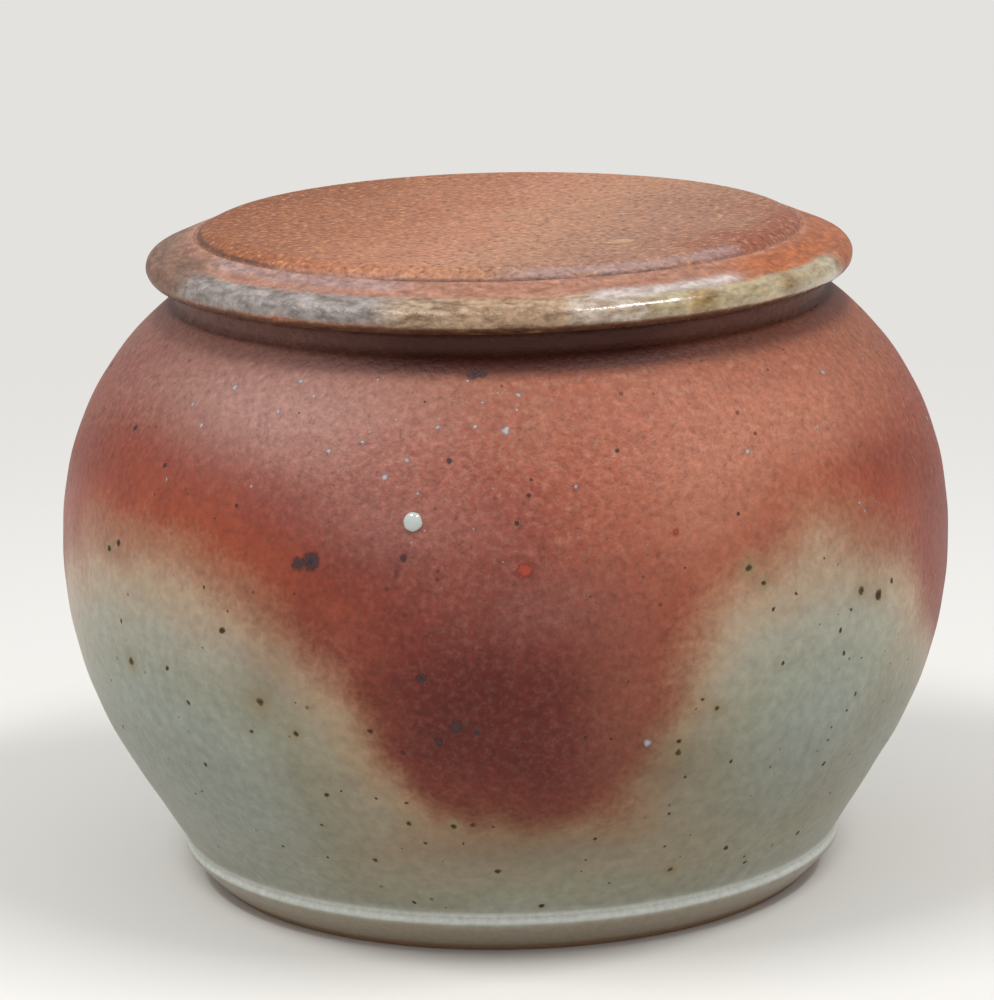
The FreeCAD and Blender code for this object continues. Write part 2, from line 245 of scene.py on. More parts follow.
@dataclass(frozen=True)
class WheelMarks:
    """What the wheel, the hand and the kiln leave on a turned surface.

    Args:
        steps_round: How many faces go round the piece.
        ring_spacing: The height between two throwing rings.
        ring_depth: How deep a ring is.
        wobble_size: How wide the slow unevenness of the wall is.
        wobble_depth: How deep it is.
        skin_size: How wide one dimple of the salt-fired skin is.
        skin_depth: How deep a dimple is.
    """

    steps_round: int
    ring_spacing: float
    ring_depth: float
    wobble_size: float
    wobble_depth: float
    skin_size: float
    skin_depth: float
    # How near two points of the turned surface are when they are made one, as they are on the axis.
    merge: float = 0.004

    def sizes(self) -> dict[str, float | int]:
        """Gives the tree's inputs by name, lengths in metres."""
        return {
            "Steps Round": self.steps_round,
            "Ring Spacing": self.ring_spacing * MM,
            "Ring Depth": self.ring_depth * MM,
            "Wobble Size": self.wobble_size * MM,
            "Wobble Depth": self.wobble_depth * MM,
            "Skin Size": self.skin_size * MM,
            "Skin Depth": self.skin_depth * MM,
        }

    def tree(self, name: str) -> Tree:
        """Builds the tree that turns an outline once round the axis and marks its surface.

        The curve's radius carries the give of each point. The marks only go inwards, so the piece stays
        inside its true size.

        Args:
            name: The tree's name.

        Returns:
            The tree.
        """
        tree = bpy.data.node_groups.new(name, "GeometryNodeTree")
        given = sheet_of_inputs(tree, self.sizes())
        value = given.outputs
        outline = add(tree, "GeometryNodeCurveToPoints", {"Curve": value["Geometry"]}, mode="EVALUATED")
        rows = add(tree, "GeometryNodeAttributeDomainSize", {"Geometry": outline}, component="POINTCLOUD")
        columns = add(tree, "ShaderNodeMath", {0: value["Steps Round"], 1: 1.0}, operation="ADD")
        grid = add(tree, "GeometryNodeMeshGrid", {"Vertices X": columns, "Vertices Y": rows})
        index = add(tree, "GeometryNodeInputIndex")
        nudged = add(tree, "ShaderNodeMath", {0: index, 1: 0.5}, operation="ADD")
        column_part = add(tree, "ShaderNodeMath", {0: nudged, 1: rows}, operation="DIVIDE")
        column = add(tree, "ShaderNodeMath", {0: column_part}, operation="FLOOR")
        passed = add(tree, "ShaderNodeMath", {0: column, 1: rows}, operation="MULTIPLY")
        row = add(tree, "ShaderNodeMath", {0: index, 1: passed}, operation="SUBTRACT")
        place = add(tree, "GeometryNodeInputPosition")
        give = add(tree, "GeometryNodeInputRadius")
        section = {"Geometry": outline, "Index": row}
        spot = add(tree, "GeometryNodeSampleIndex", {**section, "Value": place}, data_type="FLOAT_VECTOR")
        slack = add(tree, "GeometryNodeSampleIndex", {**section, "Value": give}, data_type="FLOAT")
        turn = add(tree, "ShaderNodeMath", {0: column, 1: value["Steps Round"]}, operation="DIVIDE")
        angle = add(tree, "ShaderNodeMath", {0: turn, 1: math.tau}, operation="MULTIPLY")
        turned = add(tree, "ShaderNodeVectorRotate", {"Vector": spot, "Angle": angle}, rotation_type="Z_AXIS")
        kept = add(tree, "GeometryNodeCaptureAttribute", {"Geometry": grid})
        kept.capture_items.new("FLOAT", "Give")
        tree.links.new(slack.outputs["Value"], kept.inputs["Give"])
        curled = {"Geometry": kept.outputs["Geometry"], "Position": turned}
        shell = add(tree, "GeometryNodeSetPosition", curled)
        closed = add(tree, "GeometryNodeMergeByDistance", {"Geometry": shell, "Distance": self.merge * MM})
        depth = self.mark_depth(tree, value, place, kept.outputs["Give"])
        normal = add(tree, "GeometryNodeInputNormal")
        inward = add(tree, "ShaderNodeVectorMath", {0: normal, "Scale": depth}, operation="SCALE")
        marked = add(tree, "GeometryNodeSetPosition", {"Geometry": closed, "Offset": inward})
        finish_tree(tree, given, marked)
        return tree

    @staticmethod
    def mark_depth(tree: Tree, value: Sequence, place: Node, give: bpy.types.NodeSocket) -> Node:
        """Adds the nodes that say how far each point moves along its normal, always inwards.

        Args:
            tree: The tree that takes them.
            value: The tree's inputs.
            place: The position node.
            give: How far the surface may wander.

        Returns:
            The node whose output is the depth, zero or less.
        """
        axes = add(tree, "ShaderNodeSeparateXYZ", {0: place})
        x, y, z = axes.outputs
        bearing = add(tree, "ShaderNodeMath", {0: y, 1: x}, operation="ARCTAN2")
        climb = add(tree, "ShaderNodeMath", {0: z, 1: value["Ring Spacing"]}, operation="DIVIDE")
        spiral = add(tree, "ShaderNodeMath", {0: climb, 1: math.tau, 2: bearing}, operation="MULTIPLY_ADD")
        wave = add(tree, "ShaderNodeMath", {0: spiral}, operation="SINE")
        ring = add(tree, "ShaderNodeMath", {0: wave, 1: 0.5, 2: 0.5}, operation="MULTIPLY_ADD")
        depth = add(tree, "ShaderNodeMath", {0: ring, 1: value["Ring Depth"]}, operation="MULTIPLY")
        for mark, detail in (("Wobble", 1.0), ("Skin", 2.0)):
            often = add(tree, "ShaderNodeMath", {0: 1.0, 1: value[f"{mark} Size"]}, operation="DIVIDE")
            noise = add(tree, "ShaderNodeTexNoise", {"Vector": place, "Scale": often, "Detail": detail})
            more = {0: noise, 1: value[f"{mark} Depth"], 2: depth}
            depth = add(tree, "ShaderNodeMath", more, operation="MULTIPLY_ADD")
        given = add(tree, "ShaderNodeMath", {0: depth, 1: give}, operation="MULTIPLY")
        return add(tree, "ShaderNodeMath", {0: given, 1: -1.0}, operation="MULTIPLY")


def run_tree(tree: Tree, source: bpy.types.ID, inputs: dict[str, object], name: str) -> Piece:
    """Runs a geometry tree on a curve or a mesh and keeps the result as a plain mesh.

    Args:
        tree: The tree.
        source: The curve or mesh data that the tree starts from.
        inputs: The tree's inputs by name.
        name: The new piece's name.

    Returns:
        The piece, at the origin, with no modifier left on it.
    """
    worker = bpy.data.objects.new(f"{name}_source", source)
    bpy.context.scene.collection.objects.link(worker)
    modifier = worker.modifiers.new(tree.name, "NODES")
    modifier.node_group = tree
    for socket in tree.interface.items_tree:
        if socket.in_out == "INPUT" and socket.name in inputs:
            modifier[socket.identifier] = inputs[socket.name]
    graph = bpy.context.evaluated_depsgraph_get()
    made = worker.evaluated_get(graph)
    mesh = bpy.data.meshes.new_from_object(made, preserve_all_data_layers=True, depsgraph=graph)
    mesh.name = name
    bpy.data.objects.remove(worker)
    piece = bpy.data.objects.new(name, mesh)
    bpy.context.scene.collection.objects.link(piece)
    return piece


def paint(piece: Piece, name: str, values: np.ndarray) -> None:
    """Stores one number for each point of a piece, for its finish to read."""
    layer = piece.data.attributes.new(name, "FLOAT", "POINT")
    layer.data.foreach_set("value", np.ascontiguousarray(values, dtype=np.float32))


def cylindrical(piece: Piece) -> tuple[np.ndarray, np.ndarray, np.ndarray]:
    """Gives each point's radius and height in millimetres, and its angle in degrees from the front."""
    flat = np.empty(len(piece.data.vertices) * 3, np.float32)
    piece.data.vertices.foreach_get("co", flat)
    x, y, z = flat.reshape(-1, 3).T / MM
    return np.hypot(x, y), z, np.degrees(np.arctan2(x, -y))


def apart(angle: np.ndarray | float, other: float) -> np.ndarray | float:
    """Gives how far one angle lies from another, between -180 and 180 degrees."""
    return (angle - other + 180) % 360 - 180


def smooth_step(values: np.ndarray, low: float, high: float) -> np.ndarray:
    """Rises smoothly from 0 at low to 1 at high."""
    share = np.clip((values - low) / (high - low), 0, 1)
    return share * share * (3 - 2 * share)


@dataclass(frozen=True)
class Oval:
    """An oval stretch of the wall.

    Args:
        angle: Where its middle lies round the pot.
        height: How high its middle lies.
        half_width: Half its width, measured along the wall.
        half_height: Half its height.
    """

    angle: float
    height: float
    half_width: float
    half_height: float

    def outness(self, angle: np.ndarray, height: np.ndarray, radius: np.ndarray) -> np.ndarray:
        """Gives how far each point lies from the oval's middle, where its edge is at 1.

        Args:
            angle: Each point's place round the pot.
            height: Its height.
            radius: Its distance from the axis.

        Returns:
            The distances.
        """
        across = np.radians(apart(angle, self.angle)) * radius / self.half_width
        upward = (height - self.height) / self.half_height
        return np.hypot(across, upward)


@dataclass(frozen=True)
class Dip(Oval):
    """One pass of the pot through the glaze, held on its side, which leaves an oval of glaze on the wall."""

    def depth(self, angle: np.ndarray, height: np.ndarray, radius: np.ndarray) -> np.ndarray:
        """Gives about how far inside the oval's edge each point lies, and less than 0 outside it."""
        return (1 - self.outness(angle, height, radius)) * min(self.half_width, self.half_height)


class Flame(Enum):
    """What the fire did to a stretch of bare clay, with a painted sheen in the blush, and where painted shade
    lies on the wall.
    """

    EMBER = "ember"
    BLUSH_AND_SHEEN = "blush_and_sheen"
    RUST = "rust"
    SMOKE = "painted_shade"


@dataclass(frozen=True)
class Flush(Oval):
    """One stretch of the wall, coloured by the fire or painted with sheen or shade, which fades out from its
    middle.

    Args:
        most: How strongly its middle is coloured, from 0 to 1.
        fall: How steeply it fades.
    """

    most: float = 1.0
    fall: float = 1.4

    def share(self, angle: np.ndarray, height: np.ndarray, radius: np.ndarray) -> np.ndarray:
        """Gives how strongly each point is coloured, from 0 to 1."""
        return self.most * np.exp(-self.fall * self.outness(angle, height, radius) ** 2)


class Kind(Enum):
    """What melted, or failed to melt, in a spot on the surface."""

    FELDSPAR = "feldspar_bead"
    IRON = "iron_spots"
    SLAG = "slag_spots"
    RUST = "rust_spots"
    QUARTZ = "quartz_grains"


@dataclass(frozen=True)
class Mark:
    """One spot that the eye picks out on the wall.

    Args:
        angle: Where it lies round the pot.
        height: How high it lies.
        width: How wide it is.
    """

    angle: float
    height: float
    width: float


@dataclass(frozen=True)
class Strewn:
    """The small spots of one kind, which lie all round the pot.

    Args:
        count: How many are drawn. Iron is kept where it falls on the glaze, and the rest on the clay.
        low: The lowest place.
        high: The highest place.
        least: The least width.
        most: The greatest width.
    """

    count: int
    low: float
    high: float
    least: float
    most: float


@dataclass(frozen=True)
class Melt:
    """The finish of one kind of spot: a grain that melted into the surface, or stayed on top of it.

    Its core bleeds out through a bloom, which thins to nothing at the rim.

    Args:
        core: Its colour in the middle.
        bloom: Its colour where it has dissolved.
        reach: Where it starts to thin, as a share of its half width, or 2 where it stays whole.
        roughness: How matt it is.
        shine: Its Specular IOR Level.
        proud: How high it stands, as a share of its width.
        ragged: How far its outline strays, as a share of its width.
    """

    core: str
    bloom: str
    reach: float
    roughness: float
    shine: float
    proud: float
    ragged: float
    # Shares of the half width: how far the thinning takes, where the core turns to bloom on either side of
    # the reach, how far patches shift these ends, how far they spread from spot to spot, and the last rim.
    fade: float = 0.6
    turn: Point = (-0.3, 0.2)
    uneven: float = 0.3
    spread: Point = (-0.05, 0.3)
    rim: Point = (0.8, 0.98)
    # The sizes in millimetres of the patches, and of what makes one spot spread further than the next.
    patch: float = 0.55
    drift: float = 6.0

    def material(self, name: str) -> bpy.types.Material:
        """Builds the finish.

        Args:
            name: What the spot is.

        Returns:
            The material, which reads the attribute outness.
        """
        material, tree, place = blank_material(f"melted_{name}")
        patches = add(tree, "ShaderNodeTexNoise", {"Vector": place, "Scale": 1 / self.patch, "Detail": 2.0})
        slow = add(tree, "ShaderNodeTexNoise", {"Vector": place, "Scale": 1 / self.drift, "Detail": 0.0})
        ends = {"Value": patches, "To Min": -self.uneven, "To Max": self.uneven}
        uneven = add(tree, "ShaderNodeMapRange", ends)
        least, most = self.spread
        ends = {"Value": slow, "From Min": 0.3, "From Max": 0.7, "To Min": least, "To Max": most}
        spread = add(tree, "ShaderNodeMapRange", ends)
        stray = add(tree, "ShaderNodeMath", {0: uneven, 1: spread}, operation="ADD")
        out = add(tree, "ShaderNodeAttribute", attribute_name="outness").outputs["Fac"]
        moved = add(tree, "ShaderNodeMath", {0: out, 1: stray}, operation="ADD")
        start, end = [self.reach + share for share in self.turn]
        inner = add(tree, "ShaderNodeMapRange", {"Value": moved, "From Min": start, "From Max": end})
        blend = {"Factor": inner, "A": linear(self.core), "B": linear(self.bloom)}
        colour = add(tree, "ShaderNodeMix", blend, data_type="RGBA")
        given = {"Base Color": colour, "Roughness": self.roughness, "Specular IOR Level": self.shine}
        if self.reach < 1:
            gone = {"To Min": 1.0, "To Max": 0.0}
            ends = {"Value": moved, "From Min": self.reach, "From Max": self.reach + self.fade, **gone}
            thin = add(tree, "ShaderNodeMapRange", ends, **SMOOTH)
            ends = {"Value": out, "From Min": self.rim[0], "From Max": self.rim[1], **gone}
            rim = add(tree, "ShaderNodeMapRange", ends)
            given["Alpha"] = add(tree, "ShaderNodeMath", {0: thin, 1: rim}, operation="MULTIPLY")
        shader = add(tree, "ShaderNodeBsdfPrincipled", given)
        add(tree, "ShaderNodeOutputMaterial", {"Surface": shader})
        return material


MELTS = {
    Kind.FELDSPAR: Melt("#b4bab5", "#a2a8a3", 2.0, 0.06, 1.0, 0.24, 0.25),
    Kind.IRON: Melt("#1c120a", "#5a4120", 0.5, 0.55, 0.25, 0.02, 0.50),
    Kind.SLAG: Melt("#28232a", "#4f3434", 0.42, 0.6, 0.25, 0.015, 0.25),
    Kind.RUST: Melt("#9f4231", "#953f2f", 0.3, 0.5, 0.3, 0.02, 0.20),
    Kind.QUARTZ: Melt("#aaa6aa", "#9a8d8c", 0.3, 0.5, 0.4, 0.02, 0.45),
}


def blank_material(name: str) -> tuple[bpy.types.Material, Tree, Node]:
    """Starts a finish.

    Args:
        name: The finish's name.

    Returns:
        The material, its empty tree, and the node whose output is the place on the piece in millimetres.
    """
    material = bpy.data.materials.new(name)
    material.use_nodes = True
    tree = material.node_tree
    tree.nodes.clear()
    where = add(tree, "ShaderNodeTexCoord").outputs["Object"]
    return material, tree, add(tree, "ShaderNodeVectorMath", {0: where, "Scale": 1 / MM}, operation="SCALE")


def ramp(tree: Tree, value: Node | bpy.types.NodeSocket, stops: Stops) -> Node:
    """Adds a colour that follows a value.

    Args:
        tree: The material's tree.
        value: The value.
        stops: The colour at each of some values, in rising order.

    Returns:
        The node whose output is the colour.
    """
    least, most = stops[0][0], stops[-1][0]
    share = add(tree, "ShaderNodeMapRange", {"Value": value, "From Min": least, "From Max": most})
    places = [((at - least) / (most - least), code) for at, code in stops]
    return add(tree, "ShaderNodeValToRGB", {"Fac": share}, places)


def swung(tree: Tree, colour: Node | Place, noise: Node, swing: float) -> Node:
    """Adds the swing in brightness that a noise gives a colour.

    Args:
        tree: The material's tree.
        colour: The colour.
        noise: The noise, from 0 to 1.
        swing: How far the brightness goes either way from 1, if the noise goes all the way.

    Returns:
        The node whose output is the colour.
    """
    level = add(tree, "ShaderNodeMapRange", {"Value": noise, "To Min": 1 - swing, "To Max": 1 + swing})
    return add(tree, "ShaderNodeVectorMath", {0: colour, "Scale": level}, operation="SCALE")


def stain(tree: Tree, under: Node, name: str, most: float, tone: Node | Colour) -> Node:
    """Adds a tone over a colour where the piece has been painted with an attribute.

    Args:
        tree: The material's tree.
        under: The colour under it.
        name: The attribute's name.
        most: How far the tone covers the colour where the attribute is 1.
        tone: The tone.

    Returns:
        The node whose output is the colour.
    """
    mark = add(tree, "ShaderNodeAttribute", attribute_name=name).outputs["Fac"]
    share = add(tree, "ShaderNodeMath", {0: mark, 1: most}, operation="MULTIPLY")
    return add(tree, "ShaderNodeMix", {"Factor": share, "A": under, "B": tone}, data_type="RGBA")


@dataclass(frozen=True)
class Freckles:
    """Fine specks in a fired surface, at most one in each cell of a Voronoi pattern.

    Args:
        spacing: How far apart the cells are, in millimetres.
        bare: The share of the cells that have none.
        size: The largest speck's radius, as a share of the spacing.
        soft: How far its edge is drawn out, as a share of the spacing.
        most: How far it covers the colour under it.
    """

    spacing: float
    bare: float
    size: float
    soft: float
    most: float
    # What a cell of chance 0 would have for a radius, which keeps the cells below the bare share empty.
    none: float = -0.2

    def share(self, tree: Tree, place: Node) -> Node:
        """Adds how far the specks cover each place.

        Args:
            tree: The material's tree.
            place: The position in millimetres.

        Returns:
            The node whose output is the share.
        """
        cells = add(tree, "ShaderNodeTexVoronoi", {"Vector": place, "Scale": 1 / self.spacing})
        chance = add(tree, "ShaderNodeSeparateColor", {0: cells.outputs["Color"]})
        ends = {"Value": chance, "From Min": self.bare, "To Min": self.none, "To Max": self.size}
        size = add(tree, "ShaderNodeMapRange", ends, clamp=False)
        gap = add(tree, "ShaderNodeMath", {0: cells.outputs["Distance"], 1: size}, operation="SUBTRACT")
        ends = {"Value": gap, "From Min": self.soft, "From Max": -self.soft, "To Max": self.most}
        return add(tree, "ShaderNodeMapRange", ends, **SMOOTH)


@dataclass(frozen=True)
class SaltFiredStoneware:
    """Iron-bearing stoneware, fired in wood smoke and salt, with a celadon glaze over its lower half.

    Salt vapour turns the bare clay's skin into a thin dimpled glass, so it is satin, red where the iron shows
    and darker where the fire was starved of air, which painted shade deepens lower down. The celadon is a
    clear iron glaze in a pale grey-green, smooth and a little glossier, and it goes tan where it thins out
    over the clay.
    """

    # The sizes of its patterns in millimetres: the salt's dimples, the ash in the skin, the dapple of thick
    # and thin skin, the drift of the fire, and a turning mark's height and its reach round the pot.
    peel: float = 0.85
    grit: float = 0.95
    dapple: float = 1.5
    cloud: float = 14.0
    streak: Point = (1.1, 40.0)
    # How far each of them swings the brightness, and how far the dimples swing that of what lies on the clay.
    peel_swing: float = 0.35
    dapple_swing: float = 0.34
    cloud_swing: float = 0.15
    streak_swing: float = 0.05
    mark_swing: float = 0.3
    # How deep the dimples are, what share of it the glaze leaves open, and how matt each surface is.
    dimple_depth: float = 0.22
    glazed_dimples: float = 0.35
    clay_matt: float = 0.5
    glaze_matt: float = 0.33
    bare_matt: float = 0.8
    shine: float = 0.28
    # The clay's colour by height, from the starved low point to the ashy shoulder, darker lower down partly
    # with painted shade, and how far it drifts.
    clay_and_shade_by_height: Stops = (
        (25, "#5a1c10"), (42, "#5f2016"), (54, "#74372e"), (62, "#884a3e"), (70, "#925849"), (79, "#946553")
    )
    drift: float = 14.0
    # The blush is a pink flush, and on the left shoulder also a painted sheen of the lamps.
    flushes = {Flame.EMBER: ("#ab6c54", 0.85), Flame.BLUSH_AND_SHEEN: ("#a37b72", 0.7), Flame.RUST: ("#84361e", 0.9)}
    # What is laid over clay and glaze alike: the attribute, the colour and how far it covers.
    marks = (
        # Painted shade low on the belly, laid over clay and glaze.
        (Flame.SMOKE.value, "#553f2a", 0.45),
        # The neck's mark is painted shadow of the lid's overhang.
        ("neck", "#40180f", 0.95),
        ("halo", "#857858", 0.8),
        ("bevel", "#9a8b79", 0.8),
        # The bead's pale thick glaze, with a painted highlight on its upward-facing top.
        ("bead", "#dcded6", 0.9),
        ("bare", "#8f7156", 1.0),
    )
    # The glaze's colour by its depth inside the edge, from bare clay to the full coat.
    glaze_by_depth: Stops = (
        (-6, "#782a18"), (-2, "#904126"), (0.5, "#9d6c4e"), (3, "#a1866a"), (7, "#968e7a"), (13, "#8c8d7c"),
        (22, "#8f968e"),
    )
    # The coat's painted light by height: a warm painted bounce at the very bottom, painted shade a little
    # higher, a cool painted sheen of the lamps on the upper belly, and how far it lifts the whole coat.
    painted_light_by_height: Stops = (
        (6, "#ebe6e3"), (14, "#e3dbd5"), (20, "#d9d4ce"), (28, "#dbd6d0"), (36, "#e6e5e1"), (45, "#f0f6ff")
    )
    painted_light_most: float = 1.25
    # The glaze's edge, in millimetres: how far the fire's drift and the dimples move it, and the heights
    # between which it comes to run down to twice its width.
    wander: float = 5.0
    pepper: float = 1.8
    run_heights: Point = (30.0, 58.0)
    run_most: float = 2.0
    # The rusty band outside the edge: its depths, and its strength between two heights and on an ember.
    rusty: Point = (-9.0, -1.0)
    rusty_heights: Point = (42.0, 60.0)
    rusty_most: Point = (0.3, 0.9)
    ember_spares: float = 0.1
    # The depths between which the coat closes, and the heights between which it stops being thinner.
    cover: Point = (-6.0, 4.0)
    thin_heights: Point = (36.0, 50.0)
    # The flame's tint from side to side, and the places along X between which it turns.
    pink: str = "#ebdbe3"
    orange: str = "#ffd2b2"
    turn: Point = (-38.0, 22.0)
    # The ash in the skin: its colour, how far it covers between two heights, and the noise's ends.
    pale_fleck: str = "#c79f88"
    ash_heights: Point = (46.0, 74.0)
    ash_most: Point = (0.1, 0.26)
    ash_ends: Point = (0.38, 0.8)
    # The pits of the dimples: their colour, the noise's ends and how far they cover.
    dark_fleck: str = "#44201b"
    pit_ends: Point = (0.42, 0.2)
    pit_most: float = 0.35
    speck: str = "#57452f"
    specks: Freckles = Freckles(2.2, 0.72, 0.17, 0.04, 0.7)

    def material(self) -> bpy.types.Material:
        """Builds the finish.

        Returns:
            The material, which reads the attributes dip, bare, neck, halo, bevel, bead and each flame's.
        """
        material, tree, place = blank_material("salt_fired_stoneware_and_celadon")
        axes = add(tree, "ShaderNodeSeparateXYZ", {0: place})
        fine = {"Vector": place, "Scale": 1 / self.peel, "Detail": 3.0, "Roughness": 0.6}
        peel = add(tree, "ShaderNodeTexNoise", fine)
        clouds = add(tree, "ShaderNodeTexNoise", {"Vector": place, "Scale": 1 / self.cloud, "Detail": 3.0})
        dapple = add(tree, "ShaderNodeTexNoise", {**fine, "Scale": 1 / self.dapple})
        edge = self.edge(tree, axes, clouds, peel)
        over = self.over(tree, axes, edge)
        clay = self.clay(tree, place, axes, clouds, peel)
        glaze = self.glaze(tree, place, axes, edge, clouds)
        colour = add(tree, "ShaderNodeMix", {"Factor": over, "A": clay, "B": glaze}, data_type="RGBA")
        colour = swung(tree, colour, dapple, self.dapple_swing)
        iron = {"Factor": over, "A": linear(self.dark_fleck), "B": linear(self.speck)}
        tone = add(tree, "ShaderNodeMix", iron, data_type="RGBA")
        specked = {"Factor": self.specks.share(tree, place), "A": colour, "B": tone}
        colour = add(tree, "ShaderNodeMix", specked, data_type="RGBA")
        for name, code, most in self.marks:
            tone = swung(tree, linear(code)[:3], peel, self.mark_swing)
            colour = stain(tree, colour, name, most, tone)
        bare = add(tree, "ShaderNodeAttribute", attribute_name="bare").outputs["Fac"]
        matt = {"Value": over, "To Min": self.clay_matt, "To Max": self.glaze_matt}
        satin = add(tree, "ShaderNodeMapRange", matt)
        rough = add(tree, "ShaderNodeMix", {"Factor": bare, "A": satin, "B": self.bare_matt})
        filled = {"Value": over, "To Min": 1.0, "To Max": self.glazed_dimples}
        swing = add(tree, "ShaderNodeMapRange", filled)
        height = add(tree, "ShaderNodeMath", {0: peel, 1: swing}, operation="MULTIPLY")
        dimples = {"Height": height, "Distance": self.dimple_depth * MM, "Strength": 1.0}
        bump = add(tree, "ShaderNodeBump", dimples)
        given = {"Base Color": colour, "Roughness": rough, "Normal": bump, "Specular IOR Level": self.shine}
        shader = add(tree, "ShaderNodeBsdfPrincipled", given)
        add(tree, "ShaderNodeOutputMaterial", {"Surface": shader})
        return material

    def edge(self, tree: Tree, axes: Node, clouds: Node, peel: Node) -> Node:
        """Adds how deep inside the glaze a place is, with a wandering, peppered edge.

        The glaze ran down while it was wet, so its upper edge thins out over a longer way.

        Args:
            tree: The material's tree.
            axes: The position, split.
            clouds: The slow noise.
            peel: The noise of the salt's dimples.

        Returns:
            The node whose output is the depth in millimetres.
        """
        dip = add(tree, "ShaderNodeAttribute", attribute_name="dip").outputs["Fac"]
        ends = {"Value": clouds, "To Min": -self.wander, "To Max": self.wander}
        wander = add(tree, "ShaderNodeMapRange", ends)
        ends = {"Value": peel, "To Min": -self.pepper, "To Max": self.pepper}
        pepper = add(tree, "ShaderNodeMapRange", ends)
        wandered = add(tree, "ShaderNodeMath", {0: dip, 1: wander}, operation="ADD")
        run = self.rise(tree, axes.outputs["Z"], self.run_heights, (1.0, self.run_most))
        thinned = add(tree, "ShaderNodeMath", {0: wandered, 1: run}, operation="DIVIDE")
        return add(tree, "ShaderNodeMath", {0: thinned, 1: pepper}, operation="ADD")

    @staticmethod
    def rise(tree: Tree, value: Node | bpy.types.NodeSocket, ends: Point, results: Point) -> Node:
        """Adds a smooth step.

        Args:
            tree: The material's tree.
            value: The value that it follows.
            ends: Where the step starts and ends.
            results: What it gives before its start and after its end.

        Returns:
            The node whose output is the result.
        """
        given = {"From Min": ends[0], "From Max": ends[1], "To Min": results[0], "To Max": results[1]}
        return add(tree, "ShaderNodeMapRange", {"Value": value, **given}, **SMOOTH)

    def over(self, tree: Tree, axes: Node, edge: Node) -> Node:
        """Adds how far the edge's colours cover the clay: the glaze, and the rusty band outside it.

        Args:
            tree: The material's tree.
            axes: The position, split.
            edge: How deep inside the glaze the place is.

        Returns:
            The node whose output is the share.
        """
        height = axes.outputs["Z"]
        strength = self.rise(tree, height, self.rusty_heights, self.rusty_most)
        ember = add(tree, "ShaderNodeAttribute", attribute_name=Flame.EMBER.value).outputs["Fac"]
        spared = add(tree, "ShaderNodeMapRange", {"Value": ember, "To Min": 1.0, "To Max": self.ember_spares})
        strength = add(tree, "ShaderNodeMath", {0: strength, 1: spared}, operation="MULTIPLY")
        near = self.rise(tree, edge, self.rusty, (0.0, 1.0))
        rusty = add(tree, "ShaderNodeMath", {0: near, 1: strength}, operation="MULTIPLY")
        thin = self.rise(tree, height, self.thin_heights, (1.0, 0.0))
        full = add(tree, "ShaderNodeMath", {0: edge, 1: thin}, operation="SUBTRACT")
        inside = self.rise(tree, full, self.cover, (0.0, 1.0))
        return add(tree, "ShaderNodeMath", {0: rusty, 1: inside}, operation="MAXIMUM")

    def clay(self, tree: Tree, place: Node, axes: Node, clouds: Node, peel: Node) -> Node:
        """Adds the bare fired clay: light on the shoulder, starved and plum-red lower down, where painted
        shade darkens it too.

        Args:
            tree: The material's tree.
            place: The position in millimetres.
            axes: The position, split.
            clouds: The slow noise.
            peel: The noise of the salt's dimples.

        Returns:
            The node whose output is the clay's colour.
        """
        ends = {"Value": clouds, "To Min": -self.drift, "To Max": self.drift}
        drift = add(tree, "ShaderNodeMapRange", ends)
        level = add(tree, "ShaderNodeMath", {0: axes.outputs["Z"], 1: drift}, operation="ADD")
        base = ramp(tree, level, self.clay_and_shade_by_height)
        side = self.rise(tree, axes.outputs["X"], self.turn, (0.0, 1.0))
        flame = {"Factor": side, "A": linear(self.pink), "B": linear(self.orange)}
        tint = {"Factor": 1.0, "A": base, "B": add(tree, "ShaderNodeMix", flame, data_type="RGBA")}
        colour = add(tree, "ShaderNodeMix", tint, data_type="RGBA", blend_type="MULTIPLY")
        for flush, (code, most) in self.flushes.items():
            colour = stain(tree, colour, flush.value, most, linear(code))
        ash = self.rise(tree, level, self.ash_heights, self.ash_most)
        ashy = {"Vector": place, "Scale": 1 / self.grit, "Detail": 3.0, "Roughness": 0.7}
        light = self.rise(tree, add(tree, "ShaderNodeTexNoise", ashy), self.ash_ends, (0.0, 1.0))
        share = add(tree, "ShaderNodeMath", {0: light, 1: ash}, operation="MULTIPLY")
        pale = {"Factor": share, "A": colour, "B": linear(self.pale_fleck)}
        colour = add(tree, "ShaderNodeMix", pale, data_type="RGBA")
        shade = self.rise(tree, peel, self.pit_ends, (0.0, self.pit_most))
        dark = {"Factor": shade, "A": colour, "B": linear(self.dark_fleck)}
        colour = add(tree, "ShaderNodeMix", dark, data_type="RGBA")
        return swung(tree, colour, peel, self.peel_swing)

    def glaze(self, tree: Tree, place: Node, axes: Node, edge: Node, clouds: Node) -> Node:
        """Adds the celadon by its depth, with painted light by height: a warm painted bounce low down,
        painted shade above it and a cool painted sheen higher up, and faint turning streaks.

        Args:
            tree: The material's tree.
            place: The position in millimetres.
            axes: The position, split.
            edge: How deep inside the glaze the place is.
            clouds: The slow noise.

        Returns:
            The node whose output is the glaze's colour.
        """
        coat = ramp(tree, edge, self.glaze_by_depth)
